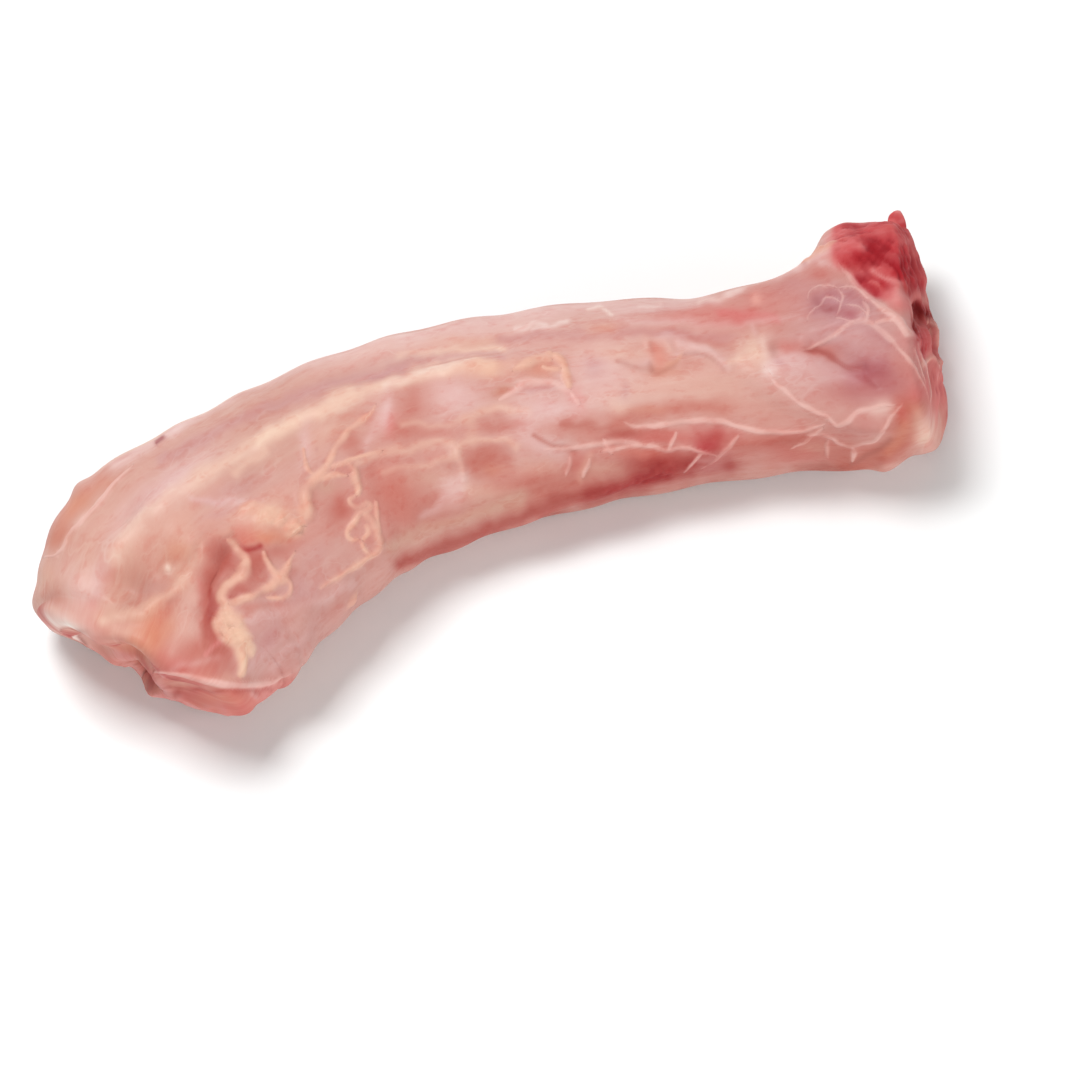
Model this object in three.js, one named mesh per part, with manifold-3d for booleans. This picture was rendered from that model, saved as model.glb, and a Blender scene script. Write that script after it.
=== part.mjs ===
// A raw chicken neck without its skin: one bent piece of meat, cut across at both ends, lying on its side.
// Millimetres, +Z up. The neck lies along X, its body (wide) end at -X and its head end at +X, and the origin
// is on the surface that it rests on, under the middle of the neck.
//
// The meat is a skin of rays. Along the neck they leave a bent centre line square to it, and at each end
// they fan out from the last point of that line until they meet the plane of the cut.
import * as THREE from 'three';
import { mergeVertices } from 'three/addons/utils/BufferGeometryUtils.js';
import Module from 'manifold-3d';

// ---- Driving sizes ----

// The centre line seen from above, with the meat's half width and half height at each station.
const STATIONS = [
  { x: -44.6, y: -32.0, halfWidth: 15.6, halfHeight: 11.6 },
  { x: -42.6, y: -27.0, halfWidth: 17.2, halfHeight: 12.4 },
  { x: -38.5, y: -21.0, halfWidth: 17.8, halfHeight: 12.9 },
  { x: -32.0, y: -15.0, halfWidth: 16.7, halfHeight: 12.6 },
  { x: -25.0, y: -9.3, halfWidth: 15.6, halfHeight: 12.2 },
  { x: -18.0, y: -4.7, halfWidth: 14.8, halfHeight: 11.8 },
  { x: -9.0, y: -1.2, halfWidth: 14.2, halfHeight: 11.4 },
  { x: 1.5, y: 1.7, halfWidth: 13.5, halfHeight: 11.2 },
  { x: 13.0, y: 4.6, halfWidth: 12.7, halfHeight: 10.9 },
  { x: 26.0, y: 6.5, halfWidth: 11.6, halfHeight: 10.8 },
  { x: 38.0, y: 8.5, halfWidth: 12.6, halfHeight: 11.8 },
  { x: 46.0, y: 10.0, halfWidth: 15.0, halfHeight: 12.8 },
  { x: 51.5, y: 11.3, halfWidth: 15.6, halfHeight: 13.2 },
];
const LAST = STATIONS.length - 1;
const SAG = 1.9;             // how far the meat would reach below the floor if it didn't flatten
const FLATTENING = 1.2;      // height over which the underside turns into the flat resting strip
const SECTION_POWER = 2.25;  // 2 is an ellipse, more is squarer

// The two cuts: a point of the plane, the way the cut faces, and how round its edge is.
const BODY_CUT = { at: [-46.0, -34.0, 12.0], facing: [-0.44, -0.87, -0.24], rounding: 7.0 };
const HEAD_CUT = { at: [54.0, 11.0, 14.0], facing: [0.96, 0.1, 0.24], rounding: 6.0 };

// Backbone in each cut face: a ring of bone round the canal of the spinal cord.
const BONE_RADIUS = 4.0;
const BONE_WIDTH = 1.5;
const BONE_RISE = 0.9;
const CANAL_RADIUS = 1.7;
const CANAL_DEPTH = 2.4;
const BUNDLES = 6;           // muscles round the bone
const BUNDLE_RISE = 0.7;
const BUNDLE_RADIUS = 9.0;
const BUNDLE_WIDTH = 4.0;
const FACE_DEPTH = 2.0;      // how far from the plane of the cut all this fades out

// Long muscles under the film: low swells that run along the neck with a slight twist.
const MUSCLES = 7;
const MUSCLE_RISE = 0.28;
const MUSCLE_TWIST = 0.16;   // radians for each station
const SEGMENT_RISE = 0.16;   // one swell for each neck bone
const SEGMENTS_PER_STATION = 1.1;

// Swellings and hollows of the two ends: a centre, how far it reaches, and how the meat moves there.
const SWELLINGS = [
  { at: [-39.5, -36.5, 4.0], reach: 7.0, move: [-0.4, -1.6, 0.5] },
  { at: [-32.5, -39.5, 1.0], reach: 4.5, move: [-0.8, 2.2, 0.3] },
  { at: [-47.0, -35.3, 15.0], reach: 2.8, move: [0.6, 2.4, 0.0] },
  { at: [-60.5, -19.0, 12.0], reach: 8.0, move: [-0.9, 0.4, 0.0] },
  { at: [-57.5, -10.0, 12.0], reach: 7.0, move: [-1.0, 0.9, 0.0] },
  { at: [45.5, 26.5, 10.0], reach: 5.5, move: [-0.8, 3.4, 1.0] },
  { at: [57.0, -5.5, 8.0], reach: 6.5, move: [-1.4, 2.2, 0.0] },
];

// Relief on the meat. A route is a list of [station, angle]: 0 degrees is the top of the neck, 90 its near
// side and -90 its far side. A single point makes a round swell or hollow. `rise` below 0 is a hollow.
const RELIEF = [
  // the pale tendon along the top, and the groove beside it
  { rise: 0.9, width: 2.2, route: [[0.4, -46], [1.1, -33], [2.1, -22], [3.5, -15], [4.4, -17], [6, -20], [7, -13]] },
  { rise: -0.8, width: 1.8, route: [[1.6, -40], [2.4, -42], [3.5, -34], [4.6, -38], [5.4, -32], [6.9, -28]] },
  // the oval hollow in the body end, the small one beside it and their rim
  { rise: -1.7, width: 3.6, route: [[0.7, -14]] },
  { rise: -0.8, width: 2.4, route: [[1.3, 3]] },
  { rise: 0.7, width: 1.6, route: [[0.2, -28], [0.1, -8], [0.6, 6], [1.2, 14], [1.8, 12], [2.3, 8]] },
  // the open pit between the muscles
  { rise: -1.5, width: 1.9, route: [[2.35, 23], [1.9, 25], [1.4, 28], [0.9, 33]] },
  { rise: -0.8, width: 2.0, route: [[2.5, 40], [3.2, 38]] },
  // the hollow in the middle of the near side
  { rise: -0.5, width: 3.2, route: [[6.4, 40]] },
  // folds and creases of the head end
  { rise: -0.9, width: 1.5, route: [[10.1, 12], [10.5, 28], [10.9, 38]] },
  { rise: 0.7, width: 1.4, route: [[10.0, 8], [10.6, 2], [11.0, 3], [11.5, 14]] },
  { rise: 0.7, width: 1.6, route: [[9.4, 26], [9.8, 45], [10.3, 58], [11.0, 66]] },
  // the underside, which shows only when the neck is turned over
  { rise: -0.9, width: 2.2, route: [[1.2, -120], [3.5, -124], [6.5, -118], [9.5, -122], [11.2, -118]] },
  { rise: 0.6, width: 2.4, route: [[1.5, 128], [4.5, 132], [7.5, 126], [10.8, 130]] },
];

// Strands of film and fat that lie on the meat, as routes, with the radius of each.
const STRANDS = [
  { radius: 0.75, route: [[5.1, 12], [4.7, 9], [4.3, 10], [4.0, 14], [3.8, 20], [3.6, 26], [3.4, 31]] },
  { radius: 0.7, route: [[2.4, 18], [2.4, 30], [2.1, 37], [1.75, 35], [1.4, 38], [1.1, 46], [0.6, 58], [0.2, 64]] },
  { radius: 0.6, route: [[1.5, 41], [1.95, 47], [2.45, 50], [2.75, 49], [3.0, 46]] },
  { radius: 0.6, route: [[4.6, 20], [4.5, 33], [4.4, 44], [4.35, 56], [4.1, 67], [3.6, 70], [3.1, 71]] },
];
const STRAND_LIFT = 0.15;    // height of a strand's middle above the meat
const STRAND_SIDES = 6;
const STEPS_PER_POINT = 3;

// Lumps on the meat, at a station and angle. Radii along x, y and z, turned about z.
const LUMPS = [
  // fat beside the long strand, above the pit and on the S-shaped strand
  { at: [3.2, 29], radii: [1.9, 1.4, 1.0], turn: 30, sink: 0.2 },
  { at: [2.9, 21], radii: [1.7, 1.2, 0.9], turn: 20, sink: 0.2 },
  { at: [1.05, 49], radii: [1.7, 2.6, 1.2], turn: 15, sink: 0.3 },
  // the knob on the far side of the head end
  { at: [10.5, -76], radii: [2.6, 1.7, 1.7], turn: 20, sink: 0.7 },
];

// The torn point of flesh that stands up from the far side of the head end.
const TAB_FOOT = [50.6, 25.5, 13.0];
const TAB_TIP = [50.2, 29.6, 14.0];
const TAB_FOOT_RADIUS = 1.9;
const TAB_TIP_RADIUS = 1.1;

// Fineness of the surface.
const SECTORS = 56;
const BODY_ROWS = 46;
const EDGE_ROWS = 3;         // from the last station to the edge of the cut
const FACE_ROWS = 9;         // from the edge of the cut to its middle
const LUMP_SECTORS = 9;
const LUMP_ROWS = 7;

// ---- Working values ----

const UP = new THREE.Vector3(0, 0, 1);
const END_ROWS = EDGE_ROWS + FACE_ROWS;
const ROWS = 2 * END_ROWS + BODY_ROWS;
const LEAST_SLOPE = 0.06;    // of a ray to the edge of a cut
const LEAST_APPROACH = 1e-3; // of a ray to a plane that it still meets
const LEAST_COSINE = 0.02;
const FAR = 1e3;
const WELD = 1e-4;           // vertices nearer than this become one
const radians = THREE.MathUtils.degToRad;
const vector = (numbers) => new THREE.Vector3(...numbers);

const CENTRE_LINE = STATIONS.map((s) => new THREE.Vector3(s.x, s.y, s.halfHeight - SAG));
const HALF_SIZES = STATIONS.map((s) => new THREE.Vector3(s.halfWidth, s.halfHeight, 0));

/** A smooth curve through the points, read at a station number. */
function throughStations(points) {
  const curve = new THREE.CatmullRomCurve3(points, false, 'catmullrom', 0.5);
  return (station) => curve.getPoint(THREE.MathUtils.clamp(station, 0, LAST) / LAST);
}
const centreAt = throughStations(CENTRE_LINE);
const halfSizeAt = throughStations(HALF_SIZES);

/** The level direction of the centre line at a station. */
function headingAt(station) {
  const step = 0.01;
  const heading = centreAt(station + step).sub(centreAt(station - step));
  heading.z = 0;
  return heading.normalize();
}

/** How far an upright section's wall is from its centre, at an angle from the top. */
function wallDistance(angle, halfWidth, halfHeight) {
  const across = Math.abs(Math.sin(angle) / halfWidth) ** SECTION_POWER;
  const upright = Math.abs(Math.cos(angle) / halfHeight) ** SECTION_POWER;
  return (across + upright) ** (-1 / SECTION_POWER);
}

/** The smaller of two lengths, with the corner between them rounded. */
function roundedMin(a, b, rounding) {
  const share = THREE.MathUtils.clamp(0.5 + (0.5 * (b - a)) / rounding, 0, 1);
  return b * (1 - share) + a * share - rounding * share * (1 - share);
}

/** How far along a ray the plane of a cut is, or very far where the ray doesn't meet it. */
function cutDistance(origin, ray, cut) {
  const facing = vector(cut.facing).normalize();
  const approach = ray.dot(facing);
  return approach > LEAST_APPROACH ? vector(cut.at).sub(origin).dot(facing) / approach : FAR;
}

/** Low swells of the long muscles and of the neck bones, as a height. */
function muscleSwell(station, angle) {
  const muscles = Math.cos(MUSCLES * (angle + MUSCLE_TWIST * station));
  const bones = Math.cos(2 * Math.PI * SEGMENTS_PER_STATION * station + 2 * angle);
  return MUSCLE_RISE * muscles + SEGMENT_RISE * bones;
}

/** The middle of an upright section, its heading, and the direction at an angle from its top. */
function sectionAt(station, angle) {
  const heading = headingAt(station);
  const farSide = new THREE.Vector3().crossVectors(UP, heading);
  const upright = UP.clone().multiplyScalar(Math.cos(angle)).addScaledVector(farSide, -Math.sin(angle));
  return { origin: centreAt(station), heading, upright };
}

/**
 * A point of the meat before its relief, with the ray that reaches it.
 * `angle` turns round the neck from the top to the near side. `tilt` is 0 along the neck, and at its ends
 * turns the ray to the body end (-90 degrees) or the head end (90 degrees).
 */
function plainSkin(station, angle, tilt) {
  const { origin, heading, upright } = sectionAt(station, angle);
  const ray = upright.multiplyScalar(Math.cos(tilt)).addScaledVector(heading, Math.sin(tilt));
  const { x: halfWidth, y: halfHeight } = halfSizeAt(station);
  const wall = wallDistance(angle, halfWidth, halfHeight) + muscleSwell(station, angle);
  let reach = wall / Math.max(Math.cos(tilt), LEAST_COSINE);
  for (const cut of [BODY_CUT, HEAD_CUT]) {
    reach = roundedMin(reach, cutDistance(origin, ray, cut), cut.rounding);
  }
  return { point: origin.addScaledVector(ray, reach), ray };
}

/** A bell that is 1 at distance 0 and falls off over `width`. */
const bell = (distance, width) => Math.exp(-((distance / width) ** 2));

/** The shortest distance from a point to a broken line. */
function distanceTo(point, line) {
  if (line.length === 1) return point.distanceTo(line[0]);
  const nearest = new THREE.Vector3();
  let shortest = Infinity;
  for (let i = 1; i < line.length; i++) {
    new THREE.Line3(line[i - 1], line[i]).closestPointToPoint(point, true, nearest);
    shortest = Math.min(shortest, point.distanceTo(nearest));
  }
  return shortest;
}

const reliefLines = RELIEF.map(({ route }) =>
  route.map(([station, angle]) => plainSkin(station, radians(angle), 0).point));

/** The bone, its canal and the muscles round it, as a height on the face of a cut. */
function faceHeight(point, cut) {
  const facing = vector(cut.facing).normalize();
  const fromMiddle = point.clone().sub(cut.middle);
  const proud = fromMiddle.dot(facing);
  const inPlane = fromMiddle.addScaledVector(facing, -proud);
  const radius = inPlane.length();
  const turn = Math.atan2(inPlane.z, inPlane.dot(new THREE.Vector3().crossVectors(UP, facing)));
  const bone = BONE_RISE * bell(radius - BONE_RADIUS, BONE_WIDTH);
  const canal = -CANAL_DEPTH * bell(radius, CANAL_RADIUS);
  const bundles = BUNDLE_RISE * Math.cos(BUNDLES * turn) * bell(radius - BUNDLE_RADIUS, BUNDLE_WIDTH);
  return (bone + canal + bundles) * bell(proud, FACE_DEPTH);
}

/** Where each cut's plane meets the line out of the neck's end. */
function middleOf(cut, station, side) {
  const origin = centreAt(station);
  const ray = headingAt(station).multiplyScalar(side);
  return origin.clone().addScaledVector(ray, cutDistance(origin, ray, cut));
}
BODY_CUT.middle = middleOf(BODY_CUT, 0, -1);
HEAD_CUT.middle = middleOf(HEAD_CUT, LAST, 1);

/** A height turned flat near the floor: 0 well below it, unchanged well above it, a parabola between. */
function pressedFlat(height) {
  if (height <= -FLATTENING) return 0;
  if (height >= FLATTENING) return height;
  return (height + FLATTENING) ** 2 / (4 * FLATTENING);
}

/** A finished point of the meat's surface. */
function skin(station, angle, tilt) {
  const { point, ray } = plainSkin(station, angle, tilt);
  const moved = point.clone();
  RELIEF.forEach(({ rise, width }, i) => {
    moved.addScaledVector(ray, rise * bell(distanceTo(point, reliefLines[i]), width));
  });
  for (const [cut, tilted] of [[BODY_CUT, -tilt], [HEAD_CUT, tilt]]) {
    if (tilted > 0) moved.addScaledVector(vector(cut.facing).normalize(), faceHeight(point, cut));
  }
  for (const { at, reach, move } of SWELLINGS) {
    moved.addScaledVector(vector(move), bell(point.distanceTo(vector(at)), reach));
  }
  moved.z = pressedFlat(moved.z);
  return moved;
}

/** The tilt of a row beyond the last station: even steps up the edge of the cut, then even rings on its face. */
function endTilt(steps, cut, station, side, angle) {
  const { origin, heading, upright } = sectionAt(station, angle);
  const { x: halfWidth, y: halfHeight } = halfSizeAt(station);
  const facing = vector(cut.facing).normalize();
  const gap = vector(cut.at).sub(origin).dot(facing);
  const outward = side * heading.dot(facing);
  const lean = upright.dot(facing);
  const wall = wallDistance(angle, halfWidth, halfHeight);
  const leastLean = Math.max(lean + LEAST_SLOPE * outward, LEAST_APPROACH);
  const edgeRadius = Math.min(wall, gap / leastLean);
  const slopeAt = (radius) => (gap / radius - lean) / outward;
  if (steps <= EDGE_ROWS) return side * Math.atan((slopeAt(edgeRadius) * steps) / EDGE_ROWS);
  return side * Math.atan(slopeAt(edgeRadius * (1 - (steps - EDGE_ROWS) / FACE_ROWS)));
}

/** Station and tilt of a row that is `share` of the way from the body end's middle to the head end's. */
function rowPlace(share, angle) {
  const row = share * ROWS;
  const beyondHead = row - END_ROWS - BODY_ROWS;
  if (row < END_ROWS) return { station: 0, tilt: endTilt(END_ROWS - row, BODY_CUT, 0, -1, angle) };
  if (beyondHead > 0) return { station: LAST, tilt: endTilt(beyondHead, HEAD_CUT, LAST, 1, angle) };
  return { station: (LAST * (row - END_ROWS)) / BODY_ROWS, tilt: 0 };
}

/** A closed shape with only positions, and each vertex held once. */
function closedShape(geometry) {
  geometry.deleteAttribute('normal');
  geometry.deleteAttribute('uv');
  return mergeVertices(geometry, WELD);
}

/** The meat: a sphere whose poles are the middles of the cuts and whose vertices go to the skin. */
function meatShape() {
  const shape = closedShape(new THREE.SphereGeometry(1, SECTORS, ROWS));
  const places = shape.attributes.position;
  for (let i = 0; i < places.count; i++) {
    const share = 1 - Math.acos(THREE.MathUtils.clamp(places.getY(i), -1, 1)) / Math.PI;
    const angle = Math.atan2(places.getZ(i), -places.getX(i));
    const { station, tilt } = rowPlace(share, angle);
    places.setXYZ(i, ...skin(station, angle, tilt));
  }
  return shape;
}

/** A strand along its route, half sunk in the meat. */
function strandShape({ radius, route }) {
  const points = route.map(([station, degrees]) => {
    const angle = radians(degrees);
    return skin(station, angle, 0).addScaledVector(plainSkin(station, angle, 0).ray, STRAND_LIFT);
  });
  const section = new THREE.Shape();
  for (let i = 0; i < STRAND_SIDES; i++) {
    const turn = (2 * Math.PI * i) / STRAND_SIDES;
    const method = i === 0 ? 'moveTo' : 'lineTo';
    section[method](radius * Math.cos(turn), radius * Math.sin(turn));
  }
  section.closePath();
  return closedShape(new THREE.ExtrudeGeometry(section, {
    steps: STEPS_PER_POINT * (route.length - 1),
    bevelEnabled: false,
    extrudePath: new THREE.CatmullRomCurve3(points),
  }));
}

/** A lump half sunk in the meat. */
function lumpShape({ at: [station, degrees], radii, turn, sink }) {
  const angle = radians(degrees);
  const { ray } = plainSkin(station, angle, 0);
  const middle = skin(station, angle, 0).addScaledVector(ray, -sink);
  return closedShape(new THREE.SphereGeometry(1, LUMP_SECTORS, LUMP_ROWS))
    .scale(...radii)
    .rotateZ(radians(turn))
    .translate(...middle);
}

/** The torn point of flesh: a tapered, rounded finger from its foot in the meat to its tip. */
function tabShape() {
  const foot = vector(TAB_FOOT);
  const tip = vector(TAB_TIP);
  const length = foot.distanceTo(tip);
  const profile = [
    new THREE.Vector2(0, -TAB_FOOT_RADIUS),
    new THREE.Vector2(TAB_FOOT_RADIUS, 0),
    new THREE.Vector2(TAB_TIP_RADIUS, length - TAB_TIP_RADIUS),
    new THREE.Vector2(0, length),
  ];
  const leaning = new THREE.Quaternion().setFromUnitVectors(
    new THREE.Vector3(0, 1, 0), tip.clone().sub(foot).normalize());
  return closedShape(new THREE.LatheGeometry(profile, LUMP_SECTORS))
    .applyQuaternion(leaning)
    .translate(...foot);
}

// ---- Joining ----

const wasm = await Module();
wasm.setup();

function toSolid(geometry) {
  return new wasm.Manifold(new wasm.Mesh({
    numProp: 3,
    vertProperties: geometry.attributes.position.array,
    triVerts: Uint32Array.from(geometry.index.array),
  }));
}

function toGeometry(solid) {
  const mesh = solid.getMesh();
  const geometry = new THREE.BufferGeometry();
  geometry.setAttribute('position', new THREE.BufferAttribute(mesh.vertProperties, 3));
  geometry.setIndex(new THREE.BufferAttribute(mesh.triVerts, 1));
  geometry.computeVertexNormals();
  return geometry;
}

const pieces = [meatShape(), ...STRANDS.map(strandShape), ...LUMPS.map(lumpShape), tabShape()];
const joined = pieces.map(toSolid).reduce((whole, piece) => whole.add(piece));

const rawMeat = new THREE.MeshStandardMaterial({ color: 0xd39688, roughness: 0.4, metalness: 0 });
const neck = new THREE.Mesh(toGeometry(joined), rawMeat);
neck.name = 'chicken_neck';

const group = new THREE.Group();
group.add(neck);

export default group;
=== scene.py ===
"""A raw chicken neck without its skin, lying on its side on a white floor.

Sizes are in millimetres until a mesh is made. Marks, strands, threads, lumps and fittings are placed by
pixels of the photo's 1080 x 1080 frame; `to_photo` and `to_skin` go from the meat to the photo and back.
Relief is placed by a station, which numbers the sections along the neck from its body end, and by an angle
round the neck: 0 is its top, 90 its near side and -90 its far side. The last number given to `ripples`, and
to the functions that pass it on, is the seed of its draws.
"""

import bpy
import numpy as np
from mathutils import Matrix


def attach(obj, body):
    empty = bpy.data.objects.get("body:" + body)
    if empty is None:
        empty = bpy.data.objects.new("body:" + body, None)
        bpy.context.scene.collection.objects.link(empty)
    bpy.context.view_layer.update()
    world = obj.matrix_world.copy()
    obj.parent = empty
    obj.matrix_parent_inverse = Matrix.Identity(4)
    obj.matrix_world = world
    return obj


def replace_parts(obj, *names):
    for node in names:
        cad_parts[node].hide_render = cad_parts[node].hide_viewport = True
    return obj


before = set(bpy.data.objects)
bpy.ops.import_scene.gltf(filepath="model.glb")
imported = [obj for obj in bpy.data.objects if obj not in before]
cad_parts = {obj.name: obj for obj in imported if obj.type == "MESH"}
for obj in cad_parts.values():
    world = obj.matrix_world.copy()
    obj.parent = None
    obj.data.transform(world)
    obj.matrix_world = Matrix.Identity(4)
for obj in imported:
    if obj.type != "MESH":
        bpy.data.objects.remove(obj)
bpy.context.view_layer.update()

METRES = 0.001  # in a millimetre
NODE = "chicken_neck"
BODY = "root"

# ---- The camera, which also turns the photo's pixels into places ----

FRAME = 1080
PIXEL = 0.13                       # millimetres on the neck for each pixel
ORIGIN_PHOTO = (505.0, 462.0)      # where the model's origin shows
ELEVATION = np.radians(65.0)
LENS = 200.0
SENSOR = 36.0
DISTANCE = PIXEL * FRAME * LENS / SENSOR
RIGHT = np.array([1.0, 0.0, 0.0])
RISING = np.array([0.0, np.sin(ELEVATION), np.cos(ELEVATION)])
TO_CAMERA = np.array([0.0, -np.cos(ELEVATION), np.sin(ELEVATION)])
OFFSET_RIGHT = (FRAME / 2 - ORIGIN_PHOTO[0]) * PIXEL
OFFSET_RISING = (ORIGIN_PHOTO[1] - FRAME / 2) * PIXEL
EYE = OFFSET_RIGHT * RIGHT + OFFSET_RISING * RISING + DISTANCE * TO_CAMERA


def length_of(vectors):
    """Length of each vector, kept as a last axis of one."""
    return np.linalg.norm(vectors, axis=-1, keepdims=True)


def unit(vectors):
    """Each vector scaled to length one."""
    vectors = np.asarray(vectors, float)
    return vectors / np.maximum(length_of(vectors), 1e-9)


def to_photo(points):
    """Pixels at which points show: the offset across and up from the eye, divided by the depth."""
    seen = points - EYE
    scale = DISTANCE / PIXEL / -(seen @ TO_CAMERA)
    return np.stack([FRAME / 2 + (seen @ RIGHT) * scale, FRAME / 2 - (seen @ RISING) * scale], -1)


def photo_rays(pixels):
    """Direction from the eye through each pixel."""
    across = (pixels[..., :1] - FRAME / 2) * PIXEL
    rising = (FRAME / 2 - pixels[..., 1:]) * PIXEL
    return across * RIGHT + rising * RISING - DISTANCE * TO_CAMERA


# ---- The neck's form: the same sizes as the solid's ----

# The centre line seen from above, and the meat's half width and half height: x, y, half width, half height.
STATIONS = np.array([
    (-44.6, -32.0, 15.6, 11.6),
    (-42.6, -27.0, 17.2, 12.4),
    (-38.5, -21.0, 17.8, 12.9),
    (-32.0, -15.0, 16.7, 12.6),
    (-25.0, -9.3, 15.6, 12.2),
    (-18.0, -4.7, 14.8, 11.8),
    (-9.0, -1.2, 14.2, 11.4),
    (1.5, 1.7, 13.5, 11.2),
    (13.0, 4.6, 12.7, 10.9),
    (26.0, 6.5, 11.6, 10.8),
    (38.0, 8.5, 12.6, 11.8),
    (46.0, 10.0, 15.0, 12.8),
    (51.5, 11.3, 15.6, 13.2),
])
LAST = len(STATIONS) - 1
SAG = 1.9              # how far the meat would reach below the floor if it didn't flatten
FLATTENING = 1.2       # height over which the underside turns into the flat resting strip
SECTION_POWER = 2.25   # 2 is an ellipse, more is squarer

UP = np.array([0.0, 0.0, 1.0])


class Cut:
    """A cut across one end of the neck.

    It has a point of its plane, the way that faces, the length over which its edge is rounded, its station,
    and its side: -1 at the body end and 1 at the head end.
    """

    def __init__(self, at, facing, rounding, station, side):
        self.at = np.array(at)
        self.facing = unit(facing)
        self.rounding = rounding
        self.station = station
        self.side = side


BODY_CUT = Cut((-46.0, -34.0, 12.0), (-0.44, -0.87, -0.24), 7.0, 0, -1)
HEAD_CUT = Cut((54.0, 11.0, 14.0), (0.96, 0.1, 0.24), 6.0, LAST, 1)

# The relief of the cuts' faces: a ring of bone round a canal, and bundles of muscle round both.
BONE_RADIUS = 4.0
BONE_WIDTH = 1.5
BONE_RISE = 0.9
CANAL_RADIUS = 1.7
CANAL_DEPTH = 2.4
BUNDLES = 6
BUNDLE_RISE = 0.7
BUNDLE_RADIUS = 9.0
BUNDLE_WIDTH = 4.0
FACE_DEPTH = 2.0       # how far from a cut's plane its relief fades
FACE_TILT = 0.3        # tilt of the rays, in radians, at which a face has its full relief

# The low waves that the long muscles and the neck bones make in the meat.
MUSCLES = 7
MUSCLE_RISE = 0.28
MUSCLE_TWIST = 0.16
SEGMENT_RISE = 0.16
SEGMENTS_PER_STATION = 1.1

# Swellings and hollows of the two ends: a centre, how far it reaches, and how the meat moves there.
SWELLINGS = [
    ((-39.5, -36.5, 4.0), 7.0, (-0.4, -1.6, 0.5)),
    ((-32.5, -39.5, 1.0), 4.5, (-0.8, 2.2, 0.3)),
    ((-47.0, -35.3, 15.0), 2.8, (0.6, 2.4, 0.0)),
    ((-60.5, -19.0, 12.0), 8.0, (-0.9, 0.4, 0.0)),
    ((-57.5, -10.0, 12.0), 7.0, (-1.0, 0.9, 0.0)),
    ((45.5, 26.5, 10.0), 5.5, (-0.8, 3.4, 1.0)),
    ((57.0, -5.5, 8.0), 6.5, (-1.4, 2.2, 0.0)),
]

# Relief: rise, width, and a route of (station, degrees). A single point makes a round swell or hollow.
RELIEF = [
    # the pale tendon along the top, and the groove beside it
    (0.9, 2.2, [(0.4, -46), (1.1, -33), (2.1, -22), (3.5, -15), (4.4, -17), (6, -20), (7, -13)]),
    (-0.8, 1.8, [(1.6, -40), (2.4, -42), (3.5, -34), (4.6, -38), (5.4, -32), (6.9, -28)]),
    # the oval hollow in the body end, the small one beside it and their rim
    (-1.7, 3.6, [(0.7, -14)]),
    (-0.8, 2.4, [(1.3, 3)]),
    (0.7, 1.6, [(0.2, -28), (0.1, -8), (0.6, 6), (1.2, 14), (1.8, 12), (2.3, 8)]),
    # the open pit between the muscles
    (-1.5, 1.9, [(2.35, 23), (1.9, 25), (1.4, 28), (0.9, 33)]),
    (-0.8, 2.0, [(2.5, 40), (3.2, 38)]),
    # the hollow in the middle of the near side
    (-0.5, 3.2, [(6.4, 40)]),
    # folds and creases of the head end
    (-0.9, 1.5, [(10.1, 12), (10.5, 28), (10.9, 38)]),
    (0.7, 1.4, [(10.0, 8), (10.6, 2), (11.0, 3), (11.5, 14)]),
    (0.7, 1.6, [(9.4, 26), (9.8, 45), (10.3, 58), (11.0, 66)]),
    # the underside
    (-0.9, 2.2, [(1.2, -120), (3.5, -124), (6.5, -118), (9.5, -122), (11.2, -118)]),
    (0.6, 2.4, [(1.5, 128), (4.5, 132), (7.5, 126), (10.8, 130)]),
]

# The tab of torn flesh that stands up at the head end.
TAB_FOOT = np.array([50.6, 25.5, 13.0])
TAB_TIP = np.array([50.2, 29.6, 14.0])
TAB_FOOT_RADIUS = 1.9
TAB_TIP_RADIUS = 1.1
TAB_BEND = 0.8         # how far its tip bends towards the head end
TAB_FLATNESS = 0.7     # its thickness as a share of its width
TAB_RIPPLE = 0.16
TAB_RINGS = 26
TAB_COLUMNS = 36

# Fineness of the meat's surface, which is finest on the side that the camera sees.
SECTORS = 176
BODY_ROWS = 454
EDGE_ROWS = 16
FACE_ROWS = 34
CROWDING = 0.55        # of the sectors towards CROWDED_ANGLE
CROWDED_ANGLE = np.radians(25.0)
LEAST_SLOPE = 0.06     # of the ray that meets a cut's edge
LEAST_APPROACH = 1e-3  # below which a ray counts as not meeting a cut's plane
LEAST_COSINE = 0.02
FAR = 1e3


def through(points, places):
    """The smooth curve through numbered points, read at places: Catmull-Rom, run on straight at each end."""
    points = np.asarray(points, float)
    padded = np.vstack([2 * points[0] - points[1], points, 2 * points[-1] - points[-2]])
    places = np.clip(np.asarray(places, float), 0, len(points) - 1)
    first = np.minimum(places.astype(int), len(points) - 2)
    share = (places - first)[..., None]
    a, b, c, d = (padded[first + step] for step in range(4))
    bend = (2 * a - 5 * b + 4 * c - d) * share**2 + (3 * b - a - 3 * c + d) * share**3
    return b + 0.5 * ((c - a) * share + bend)


def bell(distance, width):
    """1 at distance 0, falling off over the width as exp(-(distance / width)^2)."""
    return np.exp(-((distance / width) ** 2))


def ease(low, high, values):
    """0 below low and 1 above high, with an S-shaped step between. It falls instead if high is the lower."""
    share = np.clip((values - low) / (high - low), 0, 1)
    return share * share * (3 - 2 * share)


def ripples(points, length, seed):
    """Smooth unevenness of about -1 to 1: a sum of waves of about one length in seeded directions."""
    draw = np.random.default_rng(seed)
    waves = 9
    directions = unit(draw.normal(size=(waves, points.shape[-1])))
    lengths = length * draw.uniform(0.65, 1.6, waves)
    phases = draw.uniform(0, 2 * np.pi, waves)
    return np.sin(2 * np.pi * (points @ directions.T) / lengths + phases).sum(-1) / np.sqrt(waves)


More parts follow.
